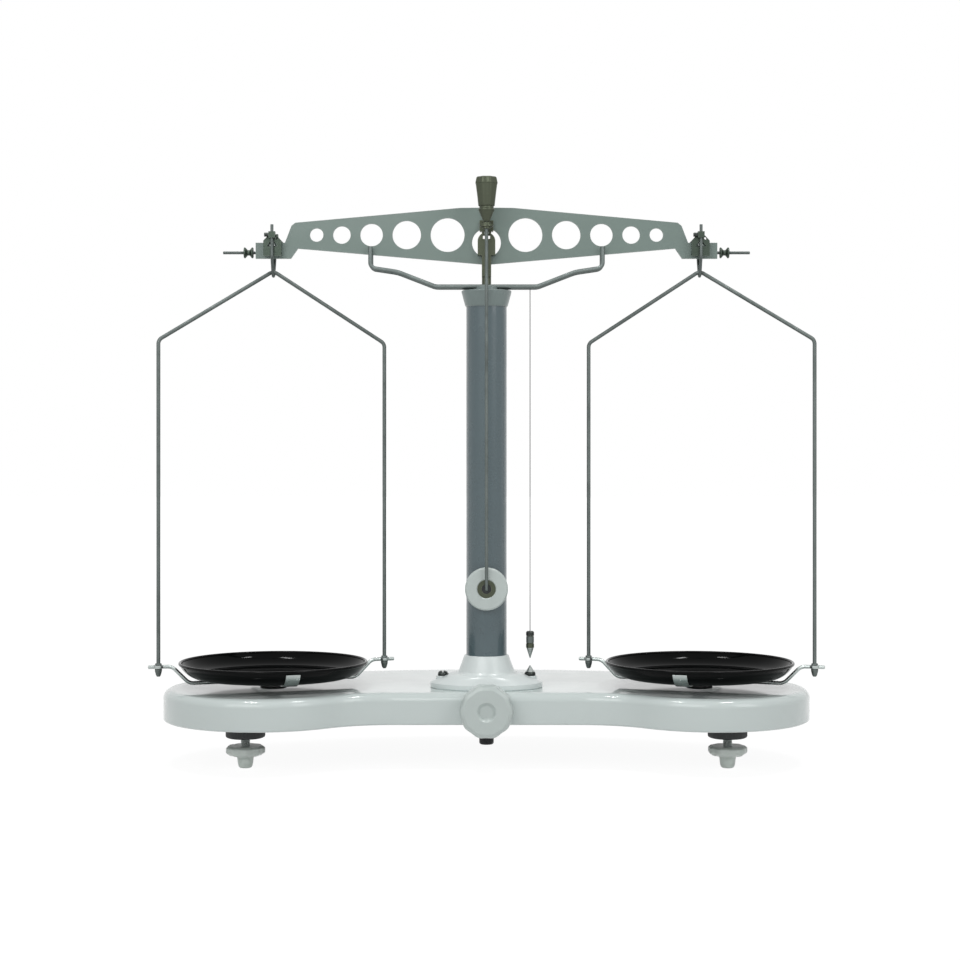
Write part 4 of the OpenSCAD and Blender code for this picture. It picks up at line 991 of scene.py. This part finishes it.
class BALANCE_OT_rest_arms(Operator):
    """Bends the two rods of the rest arms and finishes their pins"""

    bl_idname = "balance.rest_arms"
    bl_label = "Rest arms"

    def execute(self, context):
        radius = 1.4
        bends = [0, 4, 26, 10, 10, 26, 4, 0]
        for node in ("rest_arm_front", "rest_arm_rear"):
            y, top = middle(node)[1], high(node)[2]
            level, tip = low(node)[2] + radius, high(node)[0] - radius
            half = [(0.44 * tip, level), (0.766 * tip, level + 9.4), (tip, level + 12), (tip, top)]
            points = [(-x, y, z) for x, z in half[::-1]] + [(x, y, z) for x, z in half]
            path = rounded(points, bends, 12)
            add_piece(node + "_bent", [sweep(path, radius)], node, "Rest wire", sharp=60)
        dress("rest_pins", "Ground steel", 0.12)
        dress("plumb_pin", "Ground steel", 0.12)
        return {"FINISHED"}


# The beam


class BALANCE_OT_beam(Operator):
    """Finishes the beam plate with its knives, clamp and pointer arm"""

    bl_idname = "balance.beam"
    bl_label = "Beam"

    def execute(self, context):
        sizes = Lengths(context.scene.balance_beam)
        dress("beam_plate", "Beam paint", sizes.plate_bevel)
        dress("knife_holder", "Dark brass", 0.2)
        dress("pointer_arm", "Dark brass", 0.15)
        for node in ("centre_knife", "end_knife_left", "end_knife_right"):
            dress(node, "Ground steel", 0.04)
        hole, rim = 1.04, 3.5
        for side, way in SIDES.items():
            rod, nut = "balance_rod_" + side, "balance_nut_" + side
            axis, outward = middle(rod), "X" if way > 0 else "-X"
            start, length = axis[0] - way * half_width(rod), 2 * half_width(rod)
            shell = thread((start, *axis[1:]), length, 1, sizes.rod_pitch, outward, 24)
            add_piece(rod + "_threaded", [shell], rod, "Wire", sharp=60)
            start, long = middle(nut)[0] - way * half_width(nut), 2 * half_width(nut)
            profile = rounded([(hole, 0), (rim - 0.3, 0), (rim, 0.3), (rim, 0.9), (rim * 0.5, long * 0.4),
                               (rim * 0.5, long * 0.6), (rim, long - 0.9), (rim, long - 0.3),
                               (rim - 0.3, long), (hole, long)], 0.25)
            shell = revolve(profile, (start, *axis[1:]), outward, 72, loop=True)
            add_piece(nut + "_turned", [shell], nut, "Grey bronze", sharp=50)
        return {"FINISHED"}


class BALANCE_OT_pointer(Operator):
    """Makes the pointer and the sensitivity bob"""

    bl_idname = "balance.pointer"
    bl_label = "Pointer and bob"

    def execute(self, context):
        node = "pointer"
        path = [upright(node, height) for height in np.linspace(*span(node), 30)]
        shell = sweep(path, half_width(node), 32, tip=0.9)
        add_piece("pointer_drawn", [shell], node, "Wire", sharp=60)
        node = "sensitivity_bob"
        bottom, tall, rim = low(node)[2], (high(node) - low(node))[2], half_width(node)
        waist = 8
        profile = rounded([(1.1, 0), (2, 0), (rim * 0.69, waist - 0.6), (rim * 0.69, waist),
                           (rim * 0.61, waist + 0.4), (rim * 0.61, waist + 1.7), (rim * 0.7, waist + 2.1),
                           (rim - 0.3, tall - 4.6), (rim, tall - 3.8), (rim - 0.7, tall - 0.6),
                           (rim - 1.3, tall), (AXLE, tall)], 0.35)
        cut = np.clip((profile[:, 1] - waist - 3.4) / 5, 0, 1) * (profile[:, 0] > rim * 0.7)
        flutes = Lengths(context.scene.balance_beam).bob_flute * cut
        shell = revolve(profile, upright(node, bottom), sides=160, depth=flutes, ribs=8, phase=np.pi)
        add_piece("bob_turned", [shell], node, "Dark brass", sharp=50)
        return {"FINISHED"}


# The suspensions


class BALANCE_OT_saddles(Operator):
    """Finishes the saddles and bends the wires of the stirrups"""

    bl_idname = "balance.saddles"
    bl_label = "Saddles and stirrups"

    def execute(self, context):
        radius, bend, rise = 1, 3.2, 15.5
        for side in SIDES:
            dress("saddle_" + side, "Grey bronze", 0.25)
            dress("saddle_screw_" + side, "Dark steel", 0.1)
            node = "stirrup_" + side
            x, y = middle(node)[:2]
            reach = high(node)[1] - y - radius
            half = math.atan2(reach, rise)
            valley = low(node)[2] + radius - bend * (1 / math.sin(half) - 1)
            top = high(node)[2]
            points = [(x, y - reach, top), (x, y - reach, valley + rise), (x, y, valley),
                      (x, y + reach, valley + rise), (x, y + reach, top - 5)]
            path = rounded(points, [0, 3, bend, 3, 0], 12)
            add_piece(node + "_bent", [sweep(path, radius)], node, "Wire", sharp=60)
        return {"FINISHED"}


def hanging(side, points):
    """Turns points made square to the beam by the hanger's own angle, round the pan's axis."""
    turn = -SIDES[side] * bpy.context.scene.balance_beam.hanger_turn
    x, y, z = np.array(points, float).T
    centre = middle("pan_" + side)
    return np.stack([centre[0] + x * math.cos(turn) - y * math.sin(turn),
                     centre[1] + x * math.sin(turn) + y * math.cos(turn), z], axis=1)


def leg_reach(side):
    """Distance of a hanger's legs from the pan's axis."""
    turn = bpy.context.scene.balance_beam.hanger_turn
    return (half_width("hanger_" + side) - LEG_RADIUS) / math.cos(turn)


class BALANCE_OT_hangers(Operator):
    """Bends the hangers' wires, cuts the threads of their legs and finishes the nuts"""

    bl_idname = "balance.hangers"
    bl_label = "Hangers"

    def execute(self, context):
        sizes = Lengths(context.scene.balance_beam)
        for side in SIDES:
            node = "hanger_" + side
            bottom, top = low(node)[2], high(node)[2] - LEG_RADIUS
            leg = leg_reach(side)
            peak = top + 5 * (1 / math.cos(math.atan2(sizes.shoulder, leg)) - 1)
            shoulder = top - sizes.shoulder
            stop = bottom + sizes.leg_thread
            points = [(-leg, 0, stop), (-leg, 0, shoulder), (0, 0, peak), (leg, 0, shoulder),
                      (leg, 0, stop)]
            path = rounded(hanging(side, points), [0, 4.5, 5, 4.5, 0], 12)
            shells = [sweep(path, LEG_RADIUS, 32, tip=0.25)]
            for start in hanging(side, [(-leg, 0, bottom), (leg, 0, bottom)]):
                shells.append(thread(start, sizes.leg_thread + 0.2, LEG_RADIUS, sizes.leg_pitch, "Z", 24))
            add_piece(node + "_bent", shells, node, "Wire", sharp=60)
            self.nuts(side, leg)
        return {"FINISHED"}

    def nuts(self, side, leg):
        """On each leg a thin collar over the eye and a slim tapered nut under it."""
        node = "hanger_nuts_" + side
        bottom, top = span(node)
        hole = LEG_RADIUS + 0.02
        collar = [(hole, top - 1), (2.2, top - 1), (1.9, top), (hole, top)]
        nut = [(hole, bottom), (1.45, bottom), (2.2, bottom + 2.8), (2.3, bottom + 4.2),
               (hole, bottom + 4.2)]
        shells = [revolve(rounded(corners, 0.2), place, sides=40, loop=True)
                  for place in hanging(side, [(-leg, 0, 0), (leg, 0, 0)]) for corners in (collar, nut)]
        add_piece(node + "_turned", shells, node, "Wire", sharp=50)


class BALANCE_OT_carriers(Operator):
    """Bends the wire under each pan with the eyes at its ends and finishes the strap"""

    bl_idname = "balance.carriers"
    bl_label = "Carriers and straps"

    def execute(self, context):
        radius, hole = 1.2, LEG_RADIUS + 0.02
        half = radius - 0.1
        eye = rounded([(hole, half), (hole, -half), (3.1, -half), (3.1, half)], [0, 0, 0.7, 0], 5)
        for side in SIDES:
            node = "carrier_" + side
            leg = leg_reach(side)
            level, flat = high(node)[2] - radius, low(node)[2] + radius
            inner, outer = leg - LEG_RADIUS - 0.3, leg + LEG_RADIUS + 0.3
            points = [(-inner, 0, level), (8.5 - leg, 0, level), (19.5 - leg, 0, flat),
                      (leg - 19.5, 0, flat), (leg - 8.5, 0, level), (inner, 0, level)]
            shells = [sweep(rounded(hanging(side, points), 7, 14), radius)]
            for end in (-1, 1):
                stub = [(end * x, 0, level) for x in (outer, leg + 4, leg + 6.5)]
                shells.append(sweep(hanging(side, stub), radius, tip=0.5))
                place = hanging(side, [(end * leg, 0, level)])[0]
                shells.append(revolve(eye, place, sides=48, loop=True))
            add_piece(node + "_bent", shells, node, "Zinc", sharp=60)
            dress("strap_" + side, "Zinc", 0.2)
        return {"FINISHED"}


class BALANCE_OT_pans(Operator):
    """Presses the two round pans with their rolled rims"""

    bl_idname = "balance.pans"
    bl_label = "Pans"

    def execute(self, context):
        sizes = Lengths(context.scene.balance_beam)
        wall, flat, bead, axle = sizes.pan_wall, sizes.pan_floor, 1, 0.3
        for side in SIDES:
            node = "pan_" + side
            bottom, top = span(node)
            rim = half_width(node) - bead + wall / 2
            tall = top - bottom - bead
            run = rim - flat
            bend = (run ** 2 + tall ** 2) / (2 * tall)
            swing = math.degrees(math.asin(run / bend))
            outer = arc((flat, bend), bend, -90, swing - 90, 24)
            inner = arc((flat, bend), bend - wall, swing - 90, -90, 24)
            roll = arc((rim - wall / 2, tall), bead, -70, 200, 20)
            profile = np.concatenate([[(axle, 0), (flat * 0.5, 0)], outer[:-1], roll, inner[1:],
                                      [(flat * 0.5, wall), (axle, wall)]])
            shell = revolve(profile, upright(node, bottom), sides=200)
            add_piece(node + "_enamelled", [shell], node, "Pan enamel", sharp=60)
        return {"FINISHED"}


OPERATORS = (
    BALANCE_OT_finishes, BALANCE_OT_camera, BALANCE_OT_plumb_line, BALANCE_OT_stage,
    BALANCE_OT_base, BALANCE_OT_underside, BALANCE_OT_feet, BALANCE_OT_flange, BALANCE_OT_column,
    BALANCE_OT_index, BALANCE_OT_arrest, BALANCE_OT_rest_arms, BALANCE_OT_beam, BALANCE_OT_pointer,
    BALANCE_OT_saddles, BALANCE_OT_hangers, BALANCE_OT_carriers, BALANCE_OT_pans,
)


class BALANCE_PT_pieces(Panel):
    """Lists the pieces in the sidebar"""

    bl_idname = "BALANCE_PT_pieces"
    bl_label = "Pillar balance"
    bl_space_type = "VIEW_3D"
    bl_region_type = "UI"
    bl_category = "Balance"

    def draw(self, context):
        for step in STEPS:
            self.layout.operator("balance." + step)


GROUPS = {
    "balance_stand": BalanceStandSizes,
    "balance_beam": BalanceBeamSizes,
    "balance_paints": BalancePaints,
    "balance_studio": BalanceStudio,
}
STEPS = [operator.bl_idname.split(".")[1] for operator in OPERATORS]
CLASSES = (*GROUPS.values(), *OPERATORS, BALANCE_PT_pieces)


def register():
    """Adds the classes and the property groups."""
    for cls in CLASSES:
        bpy.utils.register_class(cls)
    for name, group in GROUPS.items():
        setattr(bpy.types.Scene, name, PointerProperty(type=group))


def unregister():
    """Takes them away again."""
    for name in GROUPS:
        delattr(bpy.types.Scene, name)
    for cls in reversed(CLASSES):
        bpy.utils.unregister_class(cls)


def main():
    """Makes every piece in order."""
    register()
    for step in STEPS:
        getattr(bpy.ops.balance, step)()


if __name__ == "__main__":
    main()
